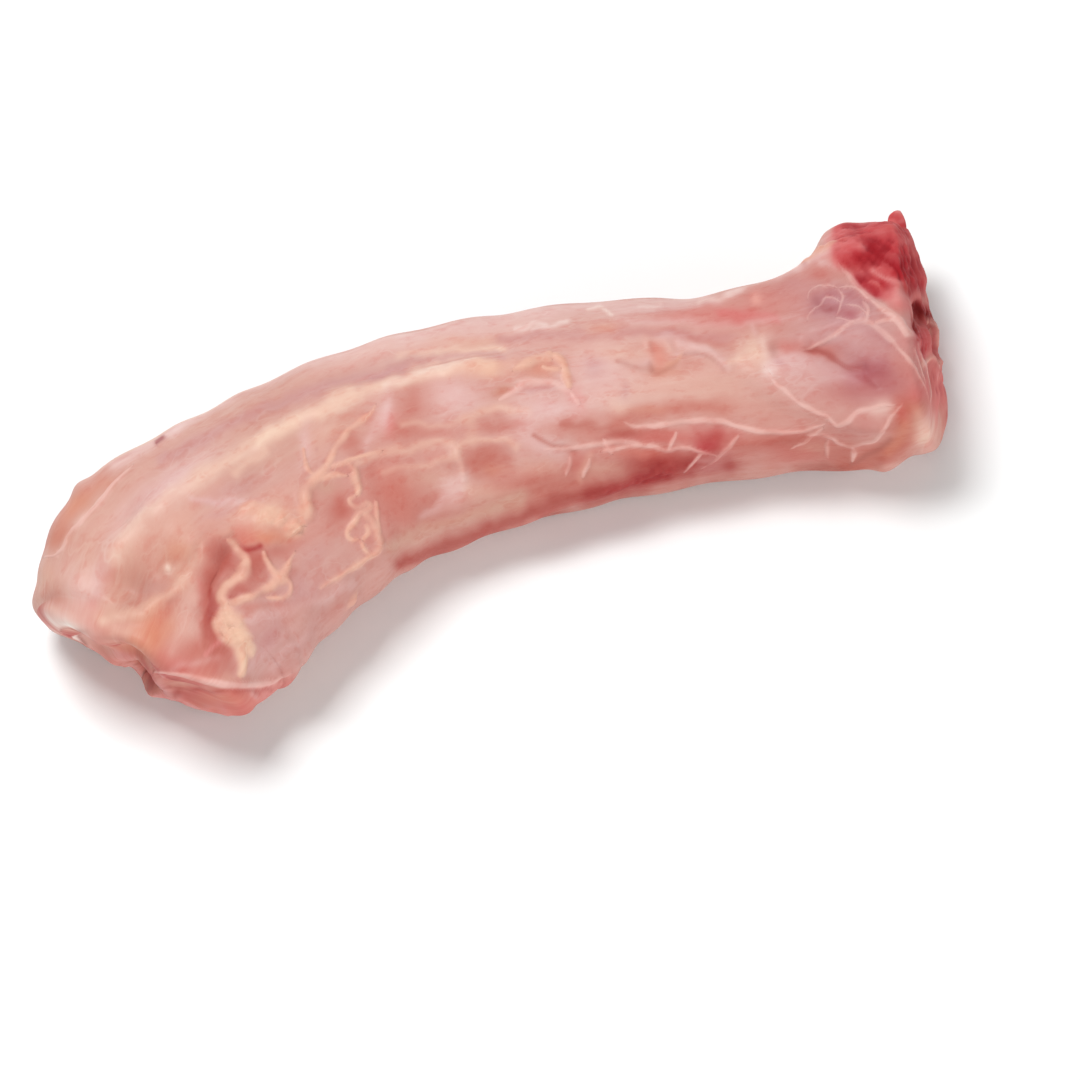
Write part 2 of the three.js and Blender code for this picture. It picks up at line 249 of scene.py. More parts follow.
def nearest_on(points, line):
    """Shortest distance from each point to a broken line, or to its one point, and how far along that is."""
    line = np.asarray(line, float)
    shortest = length_of(points - line[0])[..., 0]
    place = np.zeros_like(shortest)
    for number, (start, end) in enumerate(zip(line[:-1], line[1:])):
        along = end - start
        share = np.clip((points - start) @ along / (along @ along), 0, 1)
        distance = length_of(points - start - share[..., None] * along)[..., 0]
        closer = distance < shortest
        shortest = np.where(closer, distance, shortest)
        place = np.where(closer, number + share, place)
    return shortest, place


def wobble(points, size, length, seed):
    """Sideways wandering of up to about `size` in pixels: a ripple of its own across and one up."""
    return size * np.stack([ripples(points, length, seed), ripples(points, length, seed + 1)], -1)


def section(station, angle):
    """Centre, heading, and the direction at an angle from the top, of upright sections, with half sizes."""
    loft = np.column_stack([STATIONS[:, :2], STATIONS[:, 3] - SAG, STATIONS[:, 2:]])
    step = 0.01
    here = through(loft, station)
    heading = (through(loft, station + step) - through(loft, station - step))[..., :3]
    heading[..., 2] = 0
    heading = unit(heading)
    far_side = np.cross(UP, heading)
    upright = np.cos(angle)[..., None] * UP - np.sin(angle)[..., None] * far_side
    return here[..., :3], heading, upright, here[..., 3], here[..., 4]


def wall_distance(angle, half_width, half_height):
    """Distance from a section's centre to its wall: a superellipse read at an angle from the top."""
    across = np.abs(np.sin(angle) / half_width) ** SECTION_POWER
    upright = np.abs(np.cos(angle) / half_height) ** SECTION_POWER
    return (across + upright) ** (-1 / SECTION_POWER)


def rounded_min(a, b, rounding):
    """The smaller of two lengths, with the corner between them rounded by a parabola."""
    share = np.clip(0.5 + 0.5 * (b - a) / rounding, 0, 1)
    return b * (1 - share) + a * share - rounding * share * (1 - share)


def cut_distance(origin, ray, cut):
    """How far along each ray the plane of a cut is, or very far where the ray doesn't meet it."""
    approach = ray @ cut.facing
    gap = (cut.at - origin) @ cut.facing
    return np.where(approach > LEAST_APPROACH, gap / np.maximum(approach, LEAST_APPROACH), FAR)


def muscle_swell(station, angle):
    """Low swells of the long muscles (waves round the neck) and of the neck bones (waves along it)."""
    muscles = np.cos(MUSCLES * (angle + MUSCLE_TWIST * station))
    bones = np.cos(2 * np.pi * SEGMENTS_PER_STATION * station + 2 * angle)
    return MUSCLE_RISE * muscles + SEGMENT_RISE * bones


def plain_skin(station, angle, tilt):
    """Points of the meat without relief, and their rays.

    A point is its section's centre plus a ray that reaches to the wall, or to the plane of a cut if that is
    nearer, with a rounded corner between the two.
    """
    origin, heading, upright, half_width, half_height = section(station, angle)
    ray = np.cos(tilt)[..., None] * upright + np.sin(tilt)[..., None] * heading
    wall = wall_distance(angle, half_width, half_height) + muscle_swell(station, angle)
    reach = wall / np.maximum(np.cos(tilt), LEAST_COSINE)
    for cut in (BODY_CUT, HEAD_CUT):
        reach = rounded_min(reach, cut_distance(origin, ray, cut), cut.rounding)
    return origin + reach[..., None] * ray, ray


def on_plain_skin(route):
    """Points of the plain meat at a route of (station, degrees)."""
    station, degrees = np.array(route, float).T
    return plain_skin(station, np.radians(degrees), np.zeros(len(station)))[0]


def cut_middle(cut):
    """Where the cut's plane meets the line out of the neck's end."""
    origin, heading, *_ = section(np.array([float(cut.station)]), np.zeros(1))
    ray = heading * cut.side
    return (origin + cut_distance(origin, ray, cut)[..., None] * ray)[0]


def face_place(points, cut):
    """Radius and turn of points round the bone in a cut's face, and how proud of the face they are."""
    offset = points - cut_middle(cut)
    proud = offset @ cut.facing
    in_plane = offset - proud[..., None] * cut.facing
    turn = np.arctan2(in_plane[..., 2], in_plane @ np.cross(UP, cut.facing))
    return length_of(in_plane)[..., 0], turn, proud


def face_height(points, cut):
    """The bone's ring, its canal and the muscles round it, as a height on the face of a cut."""
    radius, turn, proud = face_place(points, cut)
    bone = BONE_RISE * bell(radius - BONE_RADIUS, BONE_WIDTH)
    canal = -CANAL_DEPTH * bell(radius, CANAL_RADIUS)
    bundles = BUNDLE_RISE * np.cos(BUNDLES * turn) * bell(radius - BUNDLE_RADIUS, BUNDLE_WIDTH)
    return (bone + canal + bundles) * bell(proud, FACE_DEPTH)


def pressed_flat(height):
    """A height turned flat near the floor: 0 well below it, unchanged well above it, a parabola between."""
    pressed = (height + FLATTENING) ** 2 / (4 * FLATTENING)
    return np.where(height <= -FLATTENING, 0, np.where(height >= FLATTENING, height, pressed))


def skin(station, angle, tilt):
    """Points of the meat with the solid's relief, swellings and flat underside."""
    plain, ray = plain_skin(station, angle, tilt)
    moved = plain.copy()
    for rise, width, route in RELIEF:
        moved += rise * bell(nearest_on(plain, on_plain_skin(route))[0], width)[..., None] * ray
    for cut in (BODY_CUT, HEAD_CUT):
        tilted = ease(0.0, FACE_TILT, tilt * cut.side)
        moved += (tilted * face_height(plain, cut))[..., None] * cut.facing
    for at, reach, move in SWELLINGS:
        moved += bell(length_of(plain - at), reach) * np.array(move)
    moved[..., 2] = pressed_flat(moved[..., 2])
    return moved


def end_tilt(steps, cut, angle):
    """Tilt of rays beyond the last station: even steps up the cut's edge, then even rings on its face."""
    origin, heading, upright, half_width, half_height = section(np.full_like(angle, cut.station), angle)
    gap = (cut.at - origin) @ cut.facing
    outward = cut.side * (heading @ cut.facing)
    lean = upright @ cut.facing
    wall = wall_distance(angle, half_width, half_height)
    edge_radius = np.minimum(wall, gap / np.maximum(lean + LEAST_SLOPE * outward, LEAST_APPROACH))
    edge_slope = (gap / edge_radius - lean) / outward
    ring = np.maximum(edge_radius * (1 - (steps - EDGE_ROWS) / FACE_ROWS), 1e-6)
    face_slope = (gap / ring - lean) / outward
    slope = np.where(steps <= EDGE_ROWS, edge_slope * steps / EDGE_ROWS, face_slope)
    return cut.side * np.arctan(slope)


def centre_line():
    """Close stations along the neck, and how far along its centre line each one is after the first."""
    fine = np.linspace(0, LAST, 2000)
    steps = length_of(np.diff(through(STATIONS[:, :2], fine), axis=0))[:, 0]
    return fine, np.cumsum(steps)


def neck_grid():
    """Station, angle and tilt of every vertex, rows from the body end's middle to the head end's."""
    turn = np.linspace(0, 2 * np.pi, SECTORS, endpoint=False)
    around = turn - CROWDING * np.sin(turn - CROWDED_ANGLE)
    fine, travelled = centre_line()
    travelled = np.concatenate([[0.0], travelled])
    body = np.interp(np.linspace(0, travelled[-1], BODY_ROWS), travelled, fine)
    end_rows = EDGE_ROWS + FACE_ROWS
    steps = np.arange(1, end_rows + 1)[:, None] + 0 * around
    angle = around + 0 * steps
    tilt_body = end_tilt(steps, BODY_CUT, angle)[::-1]
    tilt_head = end_tilt(steps, HEAD_CUT, angle)
    tilt = np.vstack([tilt_body, np.zeros((BODY_ROWS, SECTORS)), tilt_head])
    station = np.concatenate([np.zeros(end_rows), body, np.full(end_rows, LAST)])
    return station[:, None] + 0 * around, around + 0 * tilt, tilt


def ring_normals(rings, outward):
    """Unit normals of a grid of closed rings, from the steps to its neighbours, turned to `outward`."""
    round_step = np.roll(rings, -1, axis=1) - np.roll(rings, 1, axis=1)
    along_step = np.gradient(rings, axis=0)
    normals = unit(np.cross(round_step, along_step))
    flip = np.sign((normals * outward).sum(-1, keepdims=True))
    return normals * np.where(flip == 0, 1, flip)


# ---- What the photo shows on the meat, as marks ----

PAINTS = {
    # name: the colour seen in the photo, sRGB from 0 to 255
    "film": (232, 190, 186),
    "beige": (214, 166, 147),
    "muscle": (200, 117, 104),
    "orange": (224, 146, 116),
    "cream": (247, 211, 188),
    "violet": (178, 104, 110),
    "scarlet": (214, 88, 90),
    "blood": (172, 26, 36),
    # painted shade for creases, cracks, notches, hollows and the lines under threads
    "crease": (158, 88, 78),
    # white is pale film, and painted highlights where it is laid as glints
    "white": (252, 232, 222),
    # dark is the painted shade of holes and canals, and dark specks
    "dark": (108, 6, 6),
    "rose": (228, 128, 124),
    "deep": (128, 10, 22),
    "brick": (164, 62, 56),
    "peach": (232, 182, 162),
    "lilac": (202, 146, 148),
}
PLAIN_MEAT = (214, 158, 147)
PINK_FAT = (229, 169, 151)
CREAM_FAT = (242, 197, 170)
THREAD_FILM = (242, 194, 184)
# How bare of film the flesh of a paint is, where it isn't covered.
BARE = {"blood": 1.0, "brick": 0.6, "deep": 1.0, "rose": 0.7, "scarlet": 0.7, "dark": 1.0, "muscle": 0.3}
UNEVENNESS = 0.18      # by how much the strength of a mark wanders
MARK_REACH = 2.6       # half widths from a mark's line to where it has faded out
MARK_STEPS = 3         # straight pieces of a mark's line between two points of its route
RIDGE_STEPS = 6        # the same of a strand or thread
LIGHT_GAIN = 1.225     # by how much the lights brighten a colour, which the colours are divided by


def to_linear(tones):
    """Linear colours for a shader from sRGB of 0 to 255, by the sRGB curve."""
    share = np.asarray(tones) / 255
    linear = np.where(share <= 0.04045, share / 12.92, ((share.clip(0) + 0.055) / 1.055) ** 2.4)
    return np.clip(linear / LIGHT_GAIN, 0, 1)


def mark(route, width, rise=0.0, firm=False, **paints):
    """A line of paint and relief along a route, `width` pixels to each side.

    The rise is in millimetres, a firm mark has a fuller middle and a sharper edge, and each paint has its
    strength, from 0 to 1.
    """
    size = (width, width)
    return {"route": route, "size": size, "turn": 0.0, "rise": rise, "firm": firm, "paints": paints}


def spot(centre, size, turn=0.0, rise=0.0, firm=False, **paints):
    """An oval mark: its half sizes across and up in pixels, then turned anticlockwise by degrees."""
    return {"route": [centre], "size": size, "turn": turn, "rise": rise, "firm": firm, "paints": paints}


BODY_END_MARKS = [
    # broad tones: a peach side, a pinker and paler shoulder, and the beige far side
    spot((130, 570), (110, 80), 40, peach=0.75),
    spot((235, 420), (110, 26), 30, beige=0.5),
    spot((168, 482), (62, 16), 37, film=0.75),
    mark([(98, 592), (104, 566), (118, 538), (142, 508), (178, 484)], 11, film=0.6, lilac=0.1),
    spot((78, 590), (16, 30), 10, film=0.45),
    mark([(160, 462), (205, 438), (260, 411), (330, 386), (400, 369)], 7, lilac=0.5),
    mark([(116, 463), (160, 436), (220, 398), (265, 370), (320, 353), (400, 334)], 7, film=0.8, white=0.2),
    spot((45, 578), (9, 20), orange=0.15, peach=0.4),
    # the crescent of muscle outside the film's rim
    mark([(104, 482), (86, 496), (66, 517), (52, 540)], 9, muscle=0.3, orange=0.35),
    spot((58, 537), (14, 9), 50, muscle=0.35, orange=0.2),
    spot((76, 503), (7, 14), -45, orange=0.45),
    spot((53, 600), (8, 14), muscle=0.4),
    spot((49, 622), (7, 10), 40, rose=0.4),
    # the notch by the corner, painted shade, and the ragged rim beside it
    mark([(84, 632), (86, 640)], 2.6, crease=0.4, muscle=0.3),
    mark([(90, 645), (106, 655), (120, 664)], 6, rise=0.15, rose=0.5, muscle=0.25),
    spot((104, 618), (10, 7), 10, rise=0.2, cream=0.6),
    spot((92, 604), (8, 8), rose=0.25),
    # the oval hollow with its rim
    spot((143, 577), (36, 27), 38, beige=0.65, muscle=0.32, crease=0.06),
    spot((128, 606), (14, 6), 15, crease=0.22),
    spot((152, 590), (20, 12), 30, lilac=0.25),
    spot((178, 552), (16, 12), 60, orange=0.45),
    mark([(118, 616), (142, 612), (158, 604), (172, 592), (185, 576), (195, 560), (201, 546)], 7.5,
         rise=0.4, peach=0.6, cream=0.1),
    # a painted highlight on the rim
    spot((169, 569), (5, 3.5), -20, rise=0.25, cream=0.7, white=0.4),
    mark([(204, 541), (216, 534), (229, 532)], 4, rise=0.2, peach=0.6),
    # the warm wedge under the hollow and the pale fold beside the pit
    spot((152, 636), (17, 28), -28, orange=0.9, muscle=0.15),
    spot((126, 650), (13, 7), 15, orange=0.5, muscle=0.2),
    spot((122, 634), (14, 9), peach=0.5, cream=0.2),
    spot((172, 606), (8, 16), -35, muscle=0.4),
    mark([(194, 596), (187, 622), (176, 650)], 8, rise=0.15, film=0.35, peach=0.3),
    mark([(200, 582), (201, 606)], 4, rose=0.35),
    # the open pit between the muscles
    spot((221, 556), (16, 20), 20, rise=0.3, muscle=0.95, brick=0.4),
    mark([(212, 574), (208, 598), (211, 624), (212, 645)], 10, rise=0.6, muscle=0.95, brick=0.35),
    mark([(209, 590), (213, 618)], 4, brick=0.45),
    spot((204, 652), (26, 15), -8, muscle=0.8),
    spot((222, 652), (10, 16), -10, muscle=0.75, brick=0.12),
    mark([(206, 657), (214, 648), (219, 641)], 2.4, rose=0.5, film=0.2),
    mark([(168, 668), (195, 663), (218, 660)], 3, film=0.3),
    # red flesh between the branching strands
    spot((256, 564), (12, 22), -8, muscle=0.95, brick=0.25),
    spot((239, 590), (12, 8), muscle=0.7, brick=0.3),
    spot((233, 598), (5, 3), brick=0.6),
    spot((279, 553), (11, 10), muscle=0.8),
    spot((291, 574), (9, 7), muscle=0.55, crease=0.15),
    spot((274, 592), (9, 4), muscle=0.3, crease=0.12),
    # the mush of orange flesh and fat above them
    spot((266, 518), (32, 16), 6, rise=0.2, peach=0.7, orange=0.15),
    spot((268, 514), (16, 9), 10, rise=0.25, cream=0.4),
    spot((268, 536), (28, 7), orange=0.9, muscle=0.2),
    spot((243, 536), (9, 8), rose=0.6, orange=0.3),
    spot((296, 544), (20, 7), 20, muscle=0.6),
    mark([(241, 546), (250, 549), (257, 546)], 3.4, rise=-0.15, brick=0.75, blood=0.2),
    mark([(190, 498), (215, 502), (240, 500)], 3.4, rise=0.15, film=0.6),
    spot((250, 503), (14, 6), 12, rise=0.2, film=0.6),
    spot((222, 512), (24, 6), 18, lilac=0.3),
    # the veil of film at the near side
    spot((290, 625), (56, 36), 42, lilac=0.6, beige=0.25),
    mark([(244, 606), (262, 609), (286, 604)], 4.5, muscle=0.4),
    mark([(246, 620), (282, 614), (322, 600), (350, 584)], 5, rise=0.08, film=0.4),
    mark([(250, 668), (276, 642), (304, 616)], 4, film=0.3),
    mark([(272, 668), (292, 646), (318, 620)], 4, rise=0.08, film=0.35),
    spot((270, 636), (8, 18), -30, violet=0.22),
    spot((300, 592), (20, 14), 30, lilac=0.3),
    spot((312, 552), (24, 22), 40, beige=0.5, lilac=0.35),
    spot((338, 606), (26, 8), 42, muscle=0.3),
    spot((262, 660), (16, 14), film=0.3),
    spot((298, 618), (22, 16), 42, muscle=0.2, beige=0.2),
    spot((215, 676), (26, 7), peach=0.4),
    # specks
    spot((326, 459), (3, 2.4), dark=0.4, violet=0.6),
    spot((316, 449), (1.8, 1.8), violet=0.5),
    mark([(158, 443), (165, 438)], 2.4, violet=0.7, dark=0.35),
    # the red lobe under the film's lower edge
    mark([(152, 694), (180, 700), (220, 705), (262, 699), (286, 688)], 15, muscle=0.6, rose=0.5),
    mark([(196, 689), (218, 692), (240, 691)], 6, muscle=0.5, scarlet=0.35),
    spot((222, 701), (30, 10), orange=0.7, rose=0.3),
    mark([(160, 681), (168, 691), (173, 700)], 3.6, rise=0.25, film=0.6),
    mark([(180, 697), (190, 706), (206, 711), (226, 713)], 3.4, rise=0.2, rose=0.4, film=0.4),
    mark([(250, 686), (252, 694)], 3, rise=0.15, film=0.5),
    spot((176, 690), (5, 9), brick=0.5),
    spot((266, 694), (15, 8), 15, film=0.3, rose=0.3),
    spot((155, 700), (10, 8), film=0.5),
    # painted shadow under the thread along the film's lower edge
    mark([(168, 681), (200, 687), (240, 690), (272, 688)], 2.2, brick=0.3),
    # the cut's rim beside the lobe, by the corner with its painted highlight
    mark([(84, 642), (100, 650), (116, 658), (130, 668), (140, 680)], 8, peach=0.5, muscle=0.45),
    mark([(88, 648), (104, 657), (118, 665)], 3, rose=0.5),
    mark([(92, 646), (108, 655), (124, 664)], 5, peach=0.5, rose=0.35),
    mark([(122, 656), (134, 664), (146, 676), (156, 686)], 6, rose=0.5, film=0.35),
]

# The corner of the body end, painted white as a highlight, which doesn't go on down the cut's face.
CORNER_MARKS = [
    spot((66, 632), (24, 14), -30, white=1.0),
    spot((52, 620), (9, 14), 20, white=0.4),
    # the dark notch beside it, painted shade
    mark([(82, 634), (86, 643)], 2.2, crease=0.5, brick=0.2),
]

MIDDLE_MARKS = [
    # broad tones
    spot((430, 340), (130, 20), 9, film=0.8, peach=0.3),
    mark([(400, 334), (480, 320), (560, 309), (640, 301), (710, 296)], 8, film=0.6, white=0.15),
    spot((600, 365), (110, 50), 3, film=0.45, peach=0.2),
    spot((400, 500), (50, 50), muscle=0.35),
    spot((560, 485), (110, 22), 12, muscle=0.7),
    spot((690, 385), (80, 26), 3, peach=0.3),
    # the tendon, and the thin lines beside it
    mark([(112, 556), (136, 524), (172, 494), (215, 468), (250, 447), (285, 429), (320, 411), (352, 397)], 9,
         rise=0.2, cream=0.5),
    mark([(262, 441), (300, 421), (340, 402), (378, 388), (410, 378), (440, 368), (470, 364), (492, 366)], 8,
         rise=0.25, cream=0.75),
    # a painted highlight along the tendon's crest
    mark([(385, 387), (410, 377), (440, 366), (470, 363)], 4, white=0.35),
    spot((486, 368), (34, 7), 2, orange=0.35, cream=0.25),
    mark([(400, 356), (436, 352), (470, 350), (505, 350)], 3.6, rise=0.12, cream=0.55),
    mark([(372, 376), (410, 364), (450, 358), (505, 358)], 3.6, lilac=0.35),
    spot((470, 342), (40, 6), 4, orange=0.2, peach=0.3),
    # the recess under the tendon
    spot((268, 466), (42, 17), 30, beige=0.8, lilac=0.15),
    mark([(236, 474), (248, 462), (266, 451)], 5, cream=0.4),
    spot((330, 432), (34, 14), 30, peach=0.5, beige=0.2),
    spot((290, 492), (24, 12), 30, beige=0.4, rose=0.1),
    spot((305, 446), (6, 22), -6, film=0.75),
    spot((240, 488), (40, 10), 22, lilac=0.3),
    spot((352, 444), (14, 10), -40, muscle=0.5),
    spot((342, 508), (13, 13), muscle=0.75, brick=0.15),
    spot((326, 488), (14, 8), beige=0.5, crease=0.08),
    spot((332, 524), (16, 10), 30, muscle=0.35),
    spot((312, 508), (6, 16), muscle=0.3),
    # windows of pale film
    spot((385, 410), (9, 18), -15, film=0.8),
    spot((392, 424), (8, 12), -20, rose=0.35),
    spot((370, 440), (5, 14), -30, film=0.4),
    spot((414, 406), (15, 20), muscle=0.55),
    spot((404, 428), (8, 14), muscle=0.35),
    spot((456, 400), (26, 22), film=0.65),
    spot((430, 433), (40, 9), muscle=0.45),
    spot((560, 348), (18, 6), muscle=0.15),
    # red muscle
    spot((394, 488), (20, 30), muscle=0.8),
    spot((375, 470), (16, 8), 10, muscle=0.4),
    spot((414, 512), (40, 13), 16, muscle=0.4),
    spot((530, 482), (50, 14), 12, muscle=0.45),
    spot((432, 478), (26, 12), beige=0.5),
    # the streaks across the middle
    mark([(356, 463), (380, 454), (420, 447), (452, 444)], 4.5, rise=0.15, peach=0.65),
    mark([(382, 471), (415, 466), (440, 459), (458, 453)], 4, rise=0.12, peach=0.5),
    mark([(404, 423), (440, 424), (470, 421)], 3.6, peach=0.45),
    mark([(466, 418), (482, 413), (505, 410), (528, 411)], 5, rise=0.14, peach=0.6, cream=0.15),
    mark([(472, 436), (474, 424)], 5, peach=0.5),
    spot((503, 425), (28, 8), -4, muscle=0.65, crease=0.12),
    mark([(455, 452), (470, 443), (488, 440), (506, 441), (516, 447)], 4.5, rise=0.15, peach=0.7),
    mark([(456, 450), (461, 464), (462, 480)], 5, rise=0.15, peach=0.65, film=0.2),
    spot((487, 461), (25, 17), firm=True, rise=-0.2, muscle=0.72, crease=0.1),
    spot((494, 470), (14, 6), orange=0.3),
    spot((450, 463), (9, 7), crease=0.14),
    # a painted highlight, laid in the film's colour
    spot((458, 487), (17, 13), film=0.9),
    spot((478, 492), (26, 12), peach=0.6),
    mark([(425, 515), (440, 503), (458, 494)], 5, film=0.4),
    spot((500, 506), (26, 8), 12, beige=0.3),
    mark([(392, 546), (430, 532), (480, 514), (520, 498)], 9, beige=0.65),
    spot((450, 520), (34, 6), 18, orange=0.2),
    mark([(400, 562), (450, 546), (500, 526), (560, 504), (610, 490)], 8, muscle=0.5, brick=0.5),
    # the ragged knot of film over the belly, and the folds below it
    spot((540, 368), (18, 9), 8, muscle=0.4, orange=0.35),
    spot((503, 391), (10, 7), 40, crease=0.35, orange=0.35),
    spot((548, 408), (34, 16), film=0.6),
    spot((540, 390), (20, 4), 4, lilac=0.4),
    spot((575, 395), (7, 16), 20, rose=0.35),
    # a painted highlight, laid in the film's colour
    spot((545, 447), (28, 12), -16, film=0.75),
    spot((528, 428), (12, 12), film=0.4),
    # painted shade: the line under the thread
    mark([(534, 434), (545, 443), (560, 449), (575, 452)], 2.6, rise=-0.15, muscle=0.5, crease=0.2),
    spot((540, 466), (28, 9), peach=0.35),
    spot((655, 436), (42, 8), muscle=0.55, scarlet=0.15),
    spot((580, 468), (16, 10), muscle=0.45, brick=0.1),
    mark([(612, 425), (640, 430), (668, 430)], 3, muscle=0.4),
    spot((586, 428), (32, 10), -3, muscle=0.5),
    mark([(560, 424), (600, 426), (630, 432)], 3, crease=0.14, muscle=0.3),
    spot((578, 465), (8, 12), 20, muscle=0.6, scarlet=0.1),
    mark([(588, 458), (585, 468), (580, 478)], 4, rise=0.1, peach=0.4),
    # pale shoulder to the right of the folds
    spot((600, 380), (36, 26), film=0.55),
    spot((594, 366), (10, 10), lilac=0.4),
    spot((622, 352), (30, 9), 3, peach=0.45),
    spot((640, 392), (34, 12), 4, peach=0.4, film=0.2),
    spot((622, 408), (12, 10), rise=0.1, cream=0.35),
    spot((625, 392), (6, 8), lilac=0.35),
    mark([(618, 422), (645, 415), (680, 408), (725, 408)], 9, muscle=0.7),
    spot((650, 410), (20, 5), 5, orange=0.3),
    # the orange oval and the folds beside it
    spot((659, 356), (11, 16), 12, rise=0.25, orange=0.5, rose=0.3),
    mark([(647, 345), (655, 340), (664, 341), (670, 349)], 3, rise=0.15, film=0.4, peach=0.3),
    mark([(646, 366), (656, 372), (668, 370), (674, 362)], 3, crease=0.3),
    mark([(668, 366), (676, 360), (682, 352)], 3, rise=0.15, orange=0.4, peach=0.3),
    spot((662, 372), (18, 5), -8, crease=0.12, orange=0.25),
    spot((653, 348), (4, 10), -5, crease=0.2),
    spot((667, 337), (9, 6), rise=0.15, film=0.7),
    spot((686, 366), (10, 7), muscle=0.3),
    mark([(618, 362), (634, 367), (650, 371)], 3, crease=0.2),
    spot((643, 365), (6, 5), film=0.4),
    mark([(680, 340), (692, 344), (704, 348), (716, 354), (726, 366)], 5, rise=0.2, film=0.55, white=0.05),
    mark([(676, 352), (690, 352), (702, 357)], 3.4, rise=0.1, film=0.4),
    mark([(686, 354), (704, 356), (722, 368)], 3, crease=0.22),
    mark([(690, 338), (712, 341), (735, 347)], 4, muscle=0.4),
    # the far edge; its thin white lines are painted highlights
    mark([(514, 329), (526, 327), (534, 323), (543, 325)], 2.2, rise=0.1, white=0.5, film=0.3),
    mark([(534, 331), (548, 327), (558, 324), (568, 321)], 2.2, rise=0.1, white=0.5, film=0.3),
    mark([(590, 311), (600, 309), (612, 315)], 2.2, rise=0.1, white=0.6),
    mark([(500, 339), (560, 335), (620, 333), (700, 336), (745, 341)], 5, muscle=0.22, lilac=0.3),
    mark([(616, 322), (680, 322), (740, 326)], 4, film=0.45),
    mark([(620, 312), (680, 304), (720, 300)], 5, film=0.5),
    spot((700, 314), (46, 8), 2, rose=0.4, muscle=0.2),
    spot((738, 320), (20, 6), 4, scarlet=0.35, rose=0.3),
    spot((602, 328), (14, 5), orange=0.3, peach=0.3),
    mark([(640, 305), (662, 303)], 2.4, white=0.3),
    mark([(698, 301), (720, 298), (740, 290)], 2.6, white=0.5),
    # dark red along the near side: bare muscle, darkened as painted shadow where another neck lay against it
    mark([(590, 493), (625, 485), (660, 474), (700, 466), (730, 462)], 11, brick=0.85, blood=0.1),
    spot((652, 462), (42, 12), 4, brick=0.85, scarlet=0.1),
    mark([(610, 488), (640, 480), (670, 470)], 6, blood=0.15),
    spot((640, 453), (26, 5), orange=0.35, scarlet=0.2),
    spot((605, 469), (22, 9), 8, beige=0.75),
    spot((622, 434), (18, 4), 6, brick=0.45, muscle=0.3),
    spot((662, 436), (22, 6), scarlet=0.3, muscle=0.5),
    spot((714, 438), (20, 11), 4, scarlet=0.7, brick=0.5),
    spot((707, 446), (12, 6), blood=0.45),
    mark([(700, 462), (715, 458), (735, 450)], 4, film=0.35),
    spot((712, 468), (12, 6), 20, film=0.35),
    spot((745, 446), (22, 9), 6, muscle=0.5),
]

